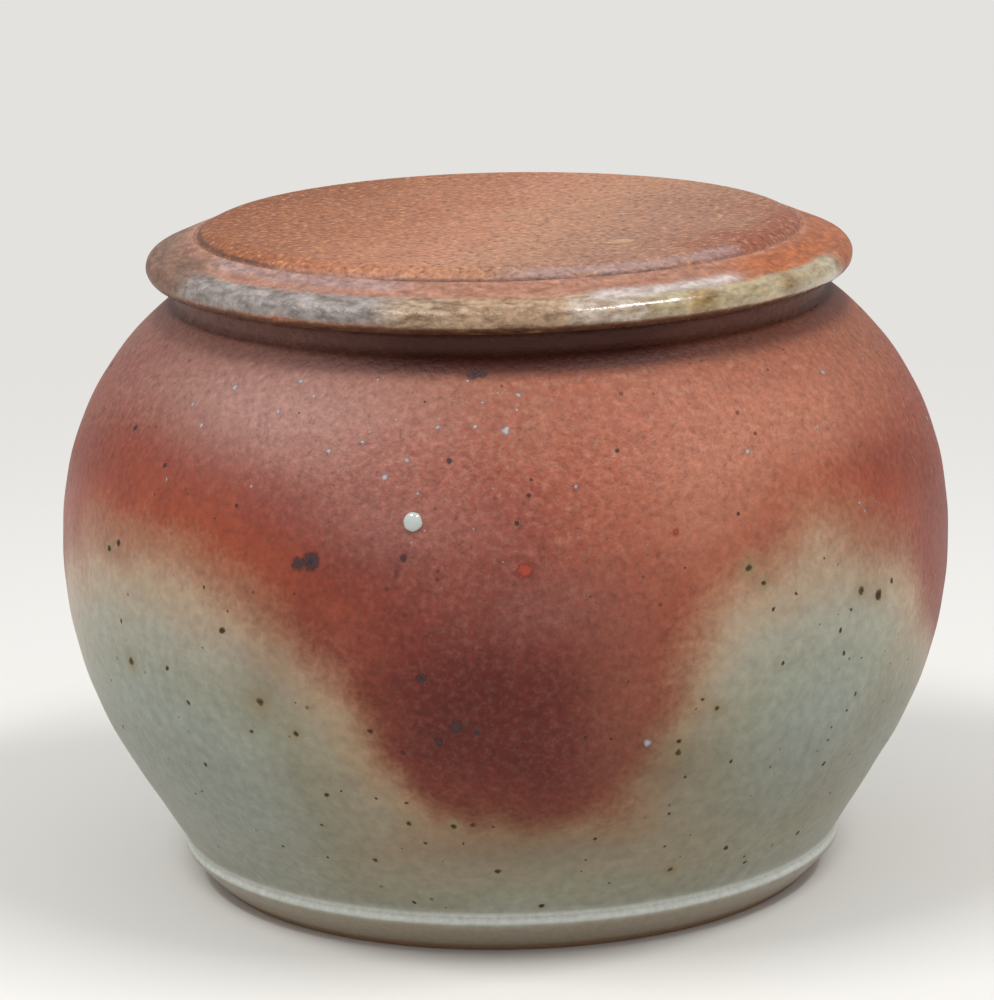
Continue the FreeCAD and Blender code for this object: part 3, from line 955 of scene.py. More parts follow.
        # Painted light by height: warm painted bounce and painted shade low down, a cool painted sheen higher
        # up.
        tint = {"Factor": 1.0, "A": coat, "B": ramp(tree, axes.outputs["Z"], self.painted_light_by_height)}
        coat = add(tree, "ShaderNodeMix", tint, data_type="RGBA", blend_type="MULTIPLY")
        rise, reach = self.streak
        flat = {0: place, 1: (1 / reach, 1 / reach, 1 / rise)}
        lying = add(tree, "ShaderNodeVectorMath", flat, operation="MULTIPLY")
        streaks = add(tree, "ShaderNodeTexNoise", {"Vector": lying, "Scale": 1.0, "Detail": 3.0})
        coat = swung(tree, coat, clouds, self.cloud_swing)
        coat = swung(tree, coat, streaks, self.streak_swing)
        return add(tree, "ShaderNodeVectorMath", {0: coat, "Scale": self.painted_light_most}, operation="SCALE")


@dataclass(frozen=True)
class AshedStoneware:
    """The lid's stoneware: toasted tan on top, with fly ash melted to an olive glass on the rim's lee side.

    It lay flat in the fire's path, so the brim is flashed orange and dulled by salt to a silver grey, and
    the ash ran over the rim where it was thickest.
    """

    # The sizes of its patterns in millimetres: the salt's dimples, the dapple of thick and thin skin, the
    # drift of the fire, and the mottle of the melted ash, which is drawn out so many times along the rim.
    peel: float = 0.8
    dapple: float = 1.8
    cloud: float = 11.0
    mottle: float = 1.1
    stretch: float = 2.4
    rim: float = 47.4
    # How far the dimples and the dapple swing the brightness.
    peel_swing: float = 0.55
    dapple_swing: float = 0.2
    # How deep the dimples and the glass's ripples are, and what share of the dimples the ash leaves open.
    dimple_depth: float = 0.22
    ripple_depth: float = 0.12
    ashed_dimples: float = 0.3
    # How matt the bare clay is, and then where silver, cream and ash lie on it. The glass lies over the rest.
    clay_matt: float = 0.5
    zones_matt = {"silver": 0.3, "cream": 0.28, "ash": 0.25}
    glass_matt: float = 0.1
    shine: float = 0.4
    # The plateau's colour across it, in the direction that it leans, and how far the fire drifts it.
    lean: Place = (1.0, -0.35, 0.0)
    top_by_side: Stops = (
        (-42, "#84451b"), (-28, "#8f512a"), (-10, "#a26545"), (0, "#ab7154"), (9, "#a97658"), (25, "#996c54"),
        (35, "#95654c"), (42, "#8a4a30"),
    )
    drift: float = 14.0
    # The flecks on and between the dimples: the noise's ends, how far they cover, and their colour.
    flecks = ((0.52, 0.75, 0.5, "#c99c78"), (0.46, 0.26, 0.75, "#553422"))
    orange_flecks: Freckles = Freckles(2.6, 0.7, 0.2, 0.06, 0.6)
    orange: str = "#b2552b"
    # Each zone's two colours, which mingle grain by grain, in the order that the zones are laid.
    zones = {
        "brim": ("#8c5c46", "#b0806b"),
        # A lilac painted sheen of the lamps on the plateau's rolled edge and on the brim.
        "lilac_sheen": ("#886c69", "#ab9796"),
        "flash": ("#8a4a26", "#b5602a"),
        "silver": ("#6a5f58", "#9d9896"),
        "cream": ("#71553c", "#bda284"),
        "olive": ("#5a4030", "#84614c"),
        "ash": ("#64461f", "#b0925f"),
        "crust": ("#998762", "#cbc1a4"),
        "glass": ("#8b6f55", "#c9beb0"),
        # Whitish frosting with a painted highlight along the ridge between the brim and the roll.
        "frost_and_highlight": ("#a4938c", "#d2cac8"),
        "pale": ("#b58f68", "#c9a87c"),
        "lip": ("#47291b", "#6c4a33"),
        # A dark line along the score, and painted shadow at the foot of the plateau's step on the left.
        "score_line_and_step_shadow": ("#2a1714", "#3f2620"),
    }
    # How far the slow noise and the mottle tear a zone's edge, and where a torn zone is whole.
    torn_by_clouds: float = 0.3
    torn_by_mottle: float = 0.35
    whole: float = 0.9

    def material(self) -> bpy.types.Material:
        """Builds the finish.

        Returns:
            The material, which reads an attribute for each zone.
        """
        material, tree, place = blank_material("wood_ashed_stoneware")
        fine = {"Vector": place, "Scale": 1 / self.peel, "Detail": 3.0, "Roughness": 0.6}
        peel = add(tree, "ShaderNodeTexNoise", fine)
        dapple = add(tree, "ShaderNodeTexNoise", {**fine, "Scale": 1 / self.dapple})
        clouds = add(tree, "ShaderNodeTexNoise", {"Vector": place, "Scale": 1 / self.cloud, "Detail": 3.0})
        mottle = self.drawn_out(tree, place)
        grains = add(tree, "ShaderNodeMapRange", {"Value": mottle, "From Min": 0.34, "From Max": 0.66})
        torn = self.torn(tree, clouds, mottle)
        colour = self.toasted(tree, place, peel, clouds)
        shares = {}
        for name, (dark, light) in self.zones.items():
            mask = add(tree, "ShaderNodeAttribute", attribute_name=name).outputs["Fac"]
            frayed = add(tree, "ShaderNodeMath", {0: mask, 1: torn}, operation="ADD")
            ends = {"Value": frayed, "From Min": 0.0, "From Max": self.whole}
            kept = add(tree, "ShaderNodeMapRange", ends, **SMOOTH)
            shares[name] = add(tree, "ShaderNodeMath", {0: kept, 1: mask}, operation="MINIMUM")
            mingled = {"Factor": grains, "A": linear(dark), "B": linear(light)}
            tone = add(tree, "ShaderNodeMix", mingled, data_type="RGBA")
            laid = {"Factor": shares[name], "A": colour, "B": tone}
            colour = add(tree, "ShaderNodeMix", laid, data_type="RGBA")
        colour = swung(tree, colour, peel, self.peel_swing)
        colour = swung(tree, colour, dapple, self.dapple_swing)
        rough = self.clay_matt
        for name, matt in self.zones_matt.items():
            rough = add(tree, "ShaderNodeMix", {"Factor": shares[name], "A": rough, "B": matt})
        filled = {"Value": shares["ash"], "To Min": 1.0, "To Max": self.ashed_dimples}
        swing = add(tree, "ShaderNodeMapRange", filled)
        height = add(tree, "ShaderNodeMath", {0: peel, 1: swing}, operation="MULTIPLY")
        dimples = {"Height": height, "Distance": self.dimple_depth * MM, "Strength": 1.0}
        bump = add(tree, "ShaderNodeBump", dimples)
        glass = add(tree, "ShaderNodeMath", {0: shares["ash"], 1: shares["glass"]}, operation="MAXIMUM")
        ripples = {"Height": mottle, "Distance": self.ripple_depth * MM, "Strength": 1.0}
        ripple = add(tree, "ShaderNodeBump", ripples)
        given = {
            "Base Color": colour, "Roughness": rough, "Normal": bump, "Specular IOR Level": self.shine,
            "Coat Weight": glass, "Coat Roughness": self.glass_matt, "Coat Normal": ripple,
        }
        shader = add(tree, "ShaderNodeBsdfPrincipled", given)
        add(tree, "ShaderNodeOutputMaterial", {"Surface": shader})
        return material

    def torn(self, tree: Tree, clouds: Node, mottle: Node) -> Node:
        """Adds how far a zone's edge is torn out or in.

        Args:
            tree: The material's tree.
            clouds: The slow noise.
            mottle: The noise of the melted ash.

        Returns:
            The node whose output is the share to add to the zone's.
        """
        most = self.torn_by_clouds
        ends = {"Value": clouds, "From Min": 0.3, "From Max": 0.7, "To Min": -most, "To Max": most}
        slow = add(tree, "ShaderNodeMapRange", ends)
        most = self.torn_by_mottle
        ends = {"Value": mottle, "From Min": 0.3, "From Max": 0.7, "To Min": most, "To Max": -most}
        fine = add(tree, "ShaderNodeMapRange", ends)
        return add(tree, "ShaderNodeMath", {0: slow, 1: fine}, operation="ADD")

    def drawn_out(self, tree: Tree, place: Node) -> Node:
        """Adds the mottle's noise, drawn out along the rim in the way that the melting ash ran round it.

        Args:
            tree: The material's tree.
            place: The position in millimetres.

        Returns:
            The node whose output is the noise.
        """
        level = add(tree, "ShaderNodeVectorMath", {0: place, 1: (1, 1, 0)}, operation="MULTIPLY")
        radius = add(tree, "ShaderNodeVectorMath", {0: level}, operation="LENGTH").outputs["Value"]
        outward = add(tree, "ShaderNodeVectorMath", {0: level}, operation="NORMALIZE")
        reach = {0: outward, "Scale": self.rim / self.stretch}
        ring = add(tree, "ShaderNodeVectorMath", reach, operation="SCALE")
        upright = add(tree, "ShaderNodeVectorMath", {0: place, 1: (0, 0, 1)}, operation="MULTIPLY")
        wrapped = add(tree, "ShaderNodeVectorMath", {0: ring, 1: upright}, operation="ADD")
        given = {"Vector": wrapped, "W": radius, "Scale": 1 / self.mottle, "Detail": 3.0, "Roughness": 0.65}
        return add(tree, "ShaderNodeTexNoise", given, noise_dimensions="4D")

    def toasted(self, tree: Tree, place: Node, peel: Node, clouds: Node) -> Node:
        """Adds the plateau's toasted clay: browner to the left and behind, with pale, dark and orange flecks.

        Args:
            tree: The material's tree.
            place: The position in millimetres.
            peel: The noise of the salt's dimples.
            clouds: The slow noise.

        Returns:
            The node whose output is the colour.
        """
        ends = {"Value": clouds, "To Min": -self.drift, "To Max": self.drift}
        drift = add(tree, "ShaderNodeMapRange", ends)
        along = add(tree, "ShaderNodeVectorMath", {0: place, 1: self.lean}, operation="DOT_PRODUCT")
        side = add(tree, "ShaderNodeMath", {0: along.outputs["Value"], 1: drift}, operation="ADD")
        colour = ramp(tree, side, self.top_by_side)
        for start, end, most, code in self.flecks:
            near = {"Value": peel, "From Min": start, "From Max": end, "To Max": most}
            factor = add(tree, "ShaderNodeMapRange", near, **SMOOTH)
            fleck = {"Factor": factor, "A": colour, "B": linear(code)}
            colour = add(tree, "ShaderNodeMix", fleck, data_type="RGBA")
        spots = {"Factor": self.orange_flecks.share(tree, place), "A": colour, "B": linear(self.orange)}
        return add(tree, "ShaderNodeMix", spots, data_type="RGBA")


@dataclass
class ThrownPot:
    """The thrown pot: a bevelled foot with a bead, a round belly, a short neck and a wide mouth."""

    base_radius: float = 42.6
    bead_centre: Point = (45.7, 5.0)
    bead_round: float = 1.25
    bead_turn: Point = (-48.0, 45.0)
    wall_arc: float = 600.0
    wall_top: float = 19.5
    belly_centre: Point = (6.6, 48.0)
    belly_arc: float = 56.0
    belly_top: float = 56.4
    shoulder_arc: float = 40.0
    neck_radius: float = 45.6
    wall: float = 5.0
    floor_height: float = 8.0
    throat_radius: float = 39.8
    recess: Point = (33.5, 2.2)
    recess_slope: float = 1.6
    # How far apart the outline's points are outside and inside, round the bead and near the axis.
    skin_step: float = 0.85
    inside_step: float = 2.4
    bead_step: float = 0.3
    inside_give: float = 2.0
    hub: float = 1.5
    # The glaze: how high it stands all round, the dips that reach above that, and how far they blend.
    base_dip: float = 22.6
    dip_blend: float = 3.5
    dips: tuple[Dip, ...] = (
        Dip(-52, 24, 40, 34),
        Dip(42.4, 30, 27.1, 29.5),
        Dip(62, 21.5, 21, 21),
        Dip(-116, 28, 31, 30),
        Dip(136, 27, 32, 33),
        Dip(-168, 30, 22, 26),
    )
    # The liner counts as this deep in the glaze, and a spot on the wall lies in it from this depth.
    liner_depth: float = 30.0
    glazed_depth: float = 3.0
    # The heights between which the wiped foot's bare clay ends, and the painted shadow under the lid starts
    # on the neck.
    foot_heights: Point = (0.6, 1.6)
    lid_shadow_heights: Point = (79.4, 81.2)
    # How dark the painted shadow under the lid's overhang is on the neck, by the angle round it.
    lid_shadow_by_side = (
        (-180, 0.8), (-60, 0.45), (-38, 0.6), (-14, 1.0), (22, 1.0), (34, 0.8), (60, 0.7), (90, 0.8),
        (180, 0.8),
    )
    flushes = {
        Flame.EMBER: (
            Flush(27, 62, 15, 13),
            Flush(46, 71, 22, 9),
            Flush(15, 40, 8, 20, 0.38),
            Flush(150, 70, 30, 10),
            Flush(-110, 68, 24, 11),
        ),
        # A pink blush, which on the left shoulder is also a painted sheen of the lamps.
        Flame.BLUSH_AND_SHEEN: (
            Flush(-38, 75, 24, 8),
            Flush(-12, 63, 18, 6, 0.35),
            Flush(6, 53, 14, 7, 0.25),
            Flush(-170, 76, 26, 7),
        ),
        Flame.RUST: (
            Flush(74, 46, 13, 20),
            Flush(-62, 66, 14, 6),
            Flush(60, 62, 14, 6),
            Flush(100, 44, 16, 20),
            Flush(-84, 60, 14, 8),
        ),
        # Painted shade on the lower front of the belly and beside a lobe.
        Flame.SMOKE: (
            Flush(3, 18, 20, 6),
            Flush(20, 29, 8, 7),
            Flush(-31, 42, 7, 8, 0.7),
        ),
    }
    seed: int = 11
    blooming_width: float = 1.1
    # The angle up to which the front shows a spot, and how much wider the strewn ones are there and behind.
    seen_half: float = 75.0
    strewn_growth: Point = (1.35, 2.0)
    strewn_radius: float = 55.0
    strewn = {
        Kind.IRON: Strewn(260, 7.0, 58.0, 0.25, 0.8),
        Kind.SLAG: Strewn(60, 26.0, 80.0, 0.25, 0.9),
        Kind.QUARTZ: Strewn(120, 58.0, 80.0, 0.25, 0.8),
    }
    marks_seen = {
        Kind.FELDSPAR: (
            Mark(-11.4, 63.6, 2.6),
        ),
        Kind.SLAG: (
            Mark(-25.9, 57.5, 3.1), Mark(-24.3, 58.0, 3.3), Mark(-6.5, 36.8, 2.6), Mark(-4.2, 80.6, 2.4),
            Mark(-3.0, 80.6, 2.2), Mark(-50.2, 67.0, 1.4), Mark(-60.1, 70.2, 1.3), Mark(30.0, 62.1, 1.1),
            Mark(15.0, 71.2, 1.0), Mark(-7.1, 70.9, 1.2), Mark(2.9, 66.7, 1.0), Mark(1.4, 63.3, 1.0),
            Mark(-12.3, 59.0, 1.7), Mark(-10.4, 43.5, 1.8), Mark(-8.8, 34.6, 1.3), Mark(-4.1, 36.0, 1.3),
        ),
        Kind.RUST: (
            Mark(2.2, 57.5, 3.0), Mark(21.0, 60.9, 2.2),
        ),
        Kind.IRON: (
            Mark(-55.2, 39.6, 1.6), Mark(-31.9, 38.3, 1.8), Mark(-36.8, 47.5, 1.0), Mark(-27.5, 34.4, 1.1),
            Mark(-34.2, 33.7, 0.9), Mark(-59.2, 54.5, 1.1), Mark(-44.6, 26.7, 0.9), Mark(-25.0, 25.3, 0.9),
            Mark(-17.9, 25.5, 0.8), Mark(-13.9, 25.0, 0.9), Mark(-14.0, 21.8, 1.1), Mark(-7.8, 21.5, 1.1),
            Mark(-5.2, 21.7, 0.9), Mark(-2.6, 21.5, 0.8), Mark(-12.4, 18.6, 0.9), Mark(-20.4, 15.1, 1.0),
            Mark(-36.3, 15.1, 0.8), Mark(-2.3, 14.0, 1.0), Mark(30.6, 55.1, 1.4), Mark(32.5, 52.8, 1.1),
            Mark(49.0, 48.6, 1.6), Mark(52.7, 47.1, 1.6), Mark(47.0, 46.4, 0.9), Mark(45.1, 44.0, 0.8),
            Mark(46.1, 40.5, 1.0), Mark(37.4, 50.4, 0.8), Mark(33.8, 49.2, 0.8), Mark(35.5, 41.4, 0.8),
            Mark(26.2, 36.8, 1.1), Mark(24.1, 38.3, 0.9), Mark(21.5, 32.7, 1.0), Mark(21.5, 30.9, 1.2),
            Mark(22.9, 27.1, 0.8), Mark(47.7, 23.8, 1.0), Mark(34.1, 13.6, 1.0), Mark(24.8, 11.8, 1.1),
            Mark(11.6, 18.6, 0.8),
        ),
        Kind.QUARTZ: (
            Mark(0.3, 74.3, 1.6), Mark(2.3, 78.3, 1.7), Mark(-2.9, 77.5, 1.3), Mark(-8.9, 74.8, 1.5),
            Mark(-15.5, 68.9, 1.7), Mark(-12.8, 70.9, 1.4), Mark(-15.0, 75.5, 1.1), Mark(-18.4, 74.1, 1.2),
            Mark(-19.2, 72.8, 1.2), Mark(-23.7, 71.6, 1.1), Mark(-28.4, 77.6, 1.2), Mark(-33.3, 75.5, 1.2),
            Mark(17.2, 33.0, 1.8), Mark(-49.5, 74.7, 1.5), Mark(-43.1, 77.4, 1.5), Mark(33.5, 69.3, 1.2),
            Mark(54.4, 76.2, 1.6), Mark(-31.7, 79.1, 1.6), Mark(71.0, 45.0, 1.4),
        ),
    }

    def __post_init__(self) -> None:
        """Reads the rim's height from the frame."""
        self.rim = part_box("pot")[1].z / MM

    def swell(self, inset: float) -> tuple[float, float, Point, float]:
        """Gives the belly's and the shoulder's arcs at a depth inside the wall.

        Args:
            inset: The depth inside the outer wall.

        Returns:
            The belly's radius, the angle where the shoulder takes over, and the shoulder's centre and radius.
        """
        turn = math.asin((self.belly_top - self.belly_centre[1]) / self.belly_arc)
        reach = self.belly_arc - self.shoulder_arc
        centre = self.belly_centre[0] + reach * math.cos(turn), self.belly_centre[1] + reach * math.sin(turn)
        return self.belly_arc - inset, math.degrees(turn), centre, self.shoulder_arc - inset

    def lower_wall(self) -> tuple[Point, float]:
        """Gives the lower wall's arc.

        Returns:
            Its centre, and the angle where it runs into the belly.
        """
        turn = math.asin((self.wall_top - self.belly_centre[1]) / self.belly_arc)
        reach = self.wall_arc - self.belly_arc
        centre = self.belly_centre[0] - reach * math.cos(turn), self.belly_centre[1] - reach * math.sin(turn)
        return centre, math.degrees(turn)

    def outline(self) -> Outline:
        """Draws the pot's half section.

        Returns:
            The outline.
        """
        outline = Outline()
        recess_radius, recess_depth = self.recess
        outline.line(0, recess_depth)
        outline.line(self.hub, recess_depth)
        outline.line(recess_radius, recess_depth, step=3.0, soft=0.5)
        outline.line(recess_radius + self.recess_slope, 0, soft=0.7)
        outline.line(self.base_radius, 0, step=2.0, soft=0.7)
        self.draw_outside(outline)
        self.draw_inside(outline)
        return outline

    def draw_outside(self, outline: Outline) -> None:
        """Draws the bead, the lower wall, the belly, the shoulder and the neck.

        Args:
            outline: The outline that they are added to.
        """
        step = self.skin_step
        wall_centre, wall_end = self.lower_wall()
        belly_arc, belly_end, shoulder_centre, shoulder_arc = self.swell(0)
        bead_top = self.bead_centre[1] + 0.75 * self.bead_round
        wall_start = math.degrees(math.asin((bead_top - wall_centre[1]) / self.wall_arc))
        outline.arc(self.bead_centre, self.bead_round, *self.bead_turn, self.bead_step, give=0.2)
        outline.arc(wall_centre, self.wall_arc, wall_start, wall_end, step, give=1.0)
        outline.arc(self.belly_centre, belly_arc, wall_end, belly_end, step, give=1.0)
        neck_turn = math.degrees(math.acos((self.neck_radius - shoulder_centre[0]) / shoulder_arc))
        outline.arc(shoulder_centre, shoulder_arc, belly_end, neck_turn, step, give=1.0)
        outline.line(self.neck_radius, self.rim, step=0.6, give=0.3, soft=0.9)

    def draw_inside(self, outline: Outline) -> None:
        """Draws the rim, the throat, and the hollow down to the middle of the floor.

        Args:
            outline: The outline that they are added to.
        """
        step, give = self.inside_step, self.inside_give
        belly_arc, belly_end, shoulder_centre, shoulder_arc = self.swell(self.wall)
        throat_turn = math.degrees(math.acos((self.throat_radius - shoulder_centre[0]) / shoulder_arc))
        throat_height = shoulder_centre[1] + shoulder_arc * math.sin(math.radians(throat_turn))
        corner_start = math.asin((self.wall_top - self.belly_centre[1]) / belly_arc)
        corner_arc = (self.wall_top - self.floor_height) / (1 + math.sin(corner_start))
        reach = belly_arc - corner_arc
        corner = (self.belly_centre[0] + reach * math.cos(corner_start), self.floor_height + corner_arc)
        outline.line(self.throat_radius, self.rim, step=1.2, soft=1.2)
        outline.line(self.throat_radius, throat_height, step=1.0, soft=1.2)
        outline.arc(shoulder_centre, shoulder_arc, throat_turn - 3, belly_end, step, give)
        outline.arc(self.belly_centre, belly_arc, belly_end, math.degrees(corner_start), step, give)
        outline.arc(corner, corner_arc, math.degrees(corner_start), -90, step, give)
        outline.line(self.hub, self.floor_height, step=step, give=give)
        outline.line(0, self.floor_height)

    def marks(self) -> WheelMarks:
        """Gives what the wheel and the kiln leave on the pot."""
        return WheelMarks(420, 7.5, 0.05, 45.0, 0.16, 3.0, 0.05)

    def dip_line(self, radius: np.ndarray, height: np.ndarray, angle: np.ndarray) -> np.ndarray:
        """Gives how far each point of the wall lies inside the glaze, blended where two dips meet.

        Args:
            radius: Each point's distance from the axis.
            height: Its height.
            angle: Its place round the pot.

        Returns:
            The depths.
        """
        depths = [dip.depth(angle, height, radius) for dip in self.dips]
        depths.append(self.base_dip - height)
        return self.dip_blend * np.log(sum(np.exp(depth / self.dip_blend) for depth in depths))

    def build(self) -> Piece:
        """Builds the pot and gives its points what the finish needs.

        Returns:
            The pot.
        """
        marks = self.marks()
        curve = section_curve("pot_outline", self.outline().points())
        inputs = {**marks.sizes(), "Finish": SaltFiredStoneware().material()}
        pot = run_tree(marks.tree("turned_pot"), curve, inputs, "pot_clay")
        radius, height, angle = cylindrical(pot)
        outside = Outline()
        self.draw_outside(outside)
        skin = outside.points()[:-1]
        depth = np.interp(height, [knot.height for knot in skin], [knot.radius for knot in skin]) - radius
        inside = (depth > self.wall / 2) & (height > self.floor_height / 2)
        dip = np.where(inside, self.liner_depth, self.dip_line(radius, height, angle))
        bare_top, glazed = self.foot_heights
        foot = smooth_step(height, glazed, bare_top) * ~inside
        seat = smooth_step(height, self.rim - 0.5, self.rim - 0.1)
        low = ~inside & (radius > self.base_radius - 1)
        bead_low, bead_high = self.bead_centre[1] - 0.3, self.bead_centre[1] + self.bead_round
        bead = smooth_step(height, bead_low, bead_low + 0.6) * smooth_step(height, bead_high + 0.6, bead_high)
        shade = np.interp(angle, *zip(*self.lid_shadow_by_side))
        paint(pot, "dip", dip)
        paint(pot, "bare", np.clip(foot + seat, 0, 1))
        # The bead is lightened to a pale thick glaze with a painted highlight on its top.
        paint(pot, "bead", bead * low)
        paint(pot, "bevel", smooth_step(height, bead_low + 0.4, bead_low - 0.4) * low)
        paint(pot, "halo", self.halo(radius, height, angle))
        # The neck is painted with the shadow under the lid's overhang, darkest in front.
        paint(pot, "neck", smooth_step(height, *self.lid_shadow_heights) * shade * ~inside)
        for flame, flushes in self.flushes.items():
            total = sum(flush.share(angle, height, radius) for flush in flushes)
            paint(pot, flame.value, np.clip(total, 0, 1) * ~inside)
        return pot

    def halo(self, radius: np.ndarray, height: np.ndarray, angle: np.ndarray) -> np.ndarray:
        """Gives the brown bloom that the larger iron spots have drawn round themselves.

        Args:
            radius: Each point's distance from the axis.
            height: Its height.
            angle: Its place round the pot.

        Returns:
            The bloom's strength at each point, from 0 to 1.
        """
        total = np.zeros_like(height)
        for mark in self.marks_seen[Kind.IRON]:
            if mark.width >= self.blooming_width:
                across = np.radians(apart(angle, mark.angle)) * radius
                total += np.exp(-(across**2 + (height - mark.height) ** 2) / mark.width**2)
        return np.clip(total, 0, 1)

    def spots(self) -> dict[Kind, list[Mark]]:
        """Lists the spots: the large ones where they are, and small ones strewn with a fixed seed.

        Returns:
            The spots of each kind.
        """
        draw = random.Random(self.seed)
        spots = {kind: list(marks) for kind, marks in self.marks_seen.items()}
        in_front, behind = self.strewn_growth
        for kind, strewn in self.strewn.items():
            for _ in range(strewn.count):
                angle, height = draw.uniform(-180, 180), draw.uniform(strewn.low, strewn.high)
                width = strewn.least + (strewn.most - strewn.least) * draw.random() ** 3
                place = np.array([self.strewn_radius]), np.array([height]), np.array([angle])
                growth = behind if abs(angle) > self.seen_half else in_front
                if (self.dip_line(*place)[0] > self.glazed_depth) == (kind is Kind.IRON):
                    spots[kind].append(Mark(angle, height, width * growth))
        return spots

    def melted_tree(self) -> Tree:
        """Builds the tree that sets a small ragged dome on each point of the wall.

        Returns:
            The tree, which reads the points' attributes outward and size.
        """
        tree = bpy.data.node_groups.new("melted_spots", "GeometryNodeTree")
        given = sheet_of_inputs(tree, {"Rag Size": 0.9 * MM, "Raggedness": 0.3 * MM, "Rings": 3})
        value = given.outputs
        place = add(tree, "GeometryNodeInputPosition")
        ball = add(tree, "GeometryNodeMeshIcoSphere", {"Radius": 1.0, "Subdivisions": value["Rings"]})
        flat = add(tree, "ShaderNodeVectorMath", {0: place, 1: (1, 1, 0)}, operation="MULTIPLY")
        outness = add(tree, "ShaderNodeVectorMath", {0: flat}, operation="LENGTH")
        known = {"Geometry": ball, "Name": "outness", "Value": outness.outputs["Value"]}
        ball = add(tree, "GeometryNodeStoreNamedAttribute", known, data_type="FLOAT", domain="POINT")
        outward = add(tree, "GeometryNodeInputNamedAttribute", {"Name": "outward"}, data_type="FLOAT_VECTOR")
        size = add(tree, "GeometryNodeInputNamedAttribute", {"Name": "size"}, data_type="FLOAT_VECTOR")
        turned = add(tree, "FunctionNodeAlignRotationToVector", {"Vector": outward}, axis="Z")
        placed = {"Points": value["Geometry"], "Instance": ball, "Rotation": turned, "Scale": size}
        domes = add(tree, "GeometryNodeInstanceOnPoints", placed)
        real = add(tree, "GeometryNodeRealizeInstances", {"Geometry": domes})
        often = add(tree, "ShaderNodeMath", {0: 1.0, 1: value["Rag Size"]}, operation="DIVIDE")
        noise = add(tree, "ShaderNodeTexNoise", {"Vector": place, "Scale": often, "Detail": 2.0})
        halved = {0: noise.outputs["Color"], 1: (0.5, 0.5, 0.5)}
        centred = add(tree, "ShaderNodeVectorMath", halved, operation="SUBTRACT")
        far = {0: centred, "Scale": value["Raggedness"]}
        stray = add(tree, "ShaderNodeVectorMath", far, operation="SCALE")
        # The stray lies in the wall, so that no spot lifts off the clay.
        along = add(tree, "ShaderNodeVectorMath", {0: stray, 1: outward}, operation="PROJECT")
        level = add(tree, "ShaderNodeVectorMath", {0: stray, 1: along}, operation="SUBTRACT")
        ragged = add(tree, "GeometryNodeSetPosition", {"Geometry": real, "Offset": level})
        finish_tree(tree, given, ragged)
        return tree

    def melt(self, pot: Piece) -> list[Piece]:
        """Sets the spots on the pot's wall.

        Args:
            pot: The finished pot.

        Returns:
            One piece for each kind of spot.
        """
        skin = BVHTree.FromObject(pot, bpy.context.evaluated_depsgraph_get())
        tree = self.melted_tree()
        spots = self.spots()
        pieces = []
        for kind, melt in MELTS.items():
            places, normals, sizes = [], [], []
            for mark in spots[kind]:
                turn = math.radians(mark.angle)
                out = Vector((math.sin(turn), -math.cos(turn), 0))
                # The ray starts 0.1 m from the axis, which is outside the pot.
                start = out * 0.1 + Vector((0, 0, mark.height * MM))
                place, normal, _, _ = skin.ray_cast(start, -out)
                places.append(place)
                normals.append(normal)
                half = mark.width / 2 * MM
                sizes.append((half, half, 2 * half * melt.proud))
            points = bpy.data.meshes.new(f"{kind.value}_points")
            points.from_pydata(places, [], [])
            for name, rows in (("outward", normals), ("size", sizes)):
                layer = points.attributes.new(name, "FLOAT_VECTOR", "POINT")
                layer.data.foreach_set("vector", np.array(rows, np.float32).ravel())
            widest = max(size[0] for size in sizes)
            rag = {"Raggedness": 2 * melt.ragged * widest, "Rag Size": 1.6 * widest}
            inputs = {**rag, "Finish": melt.material(kind.value)}
            pieces.append(run_tree(tree, points, inputs, kind.value))
        return pieces


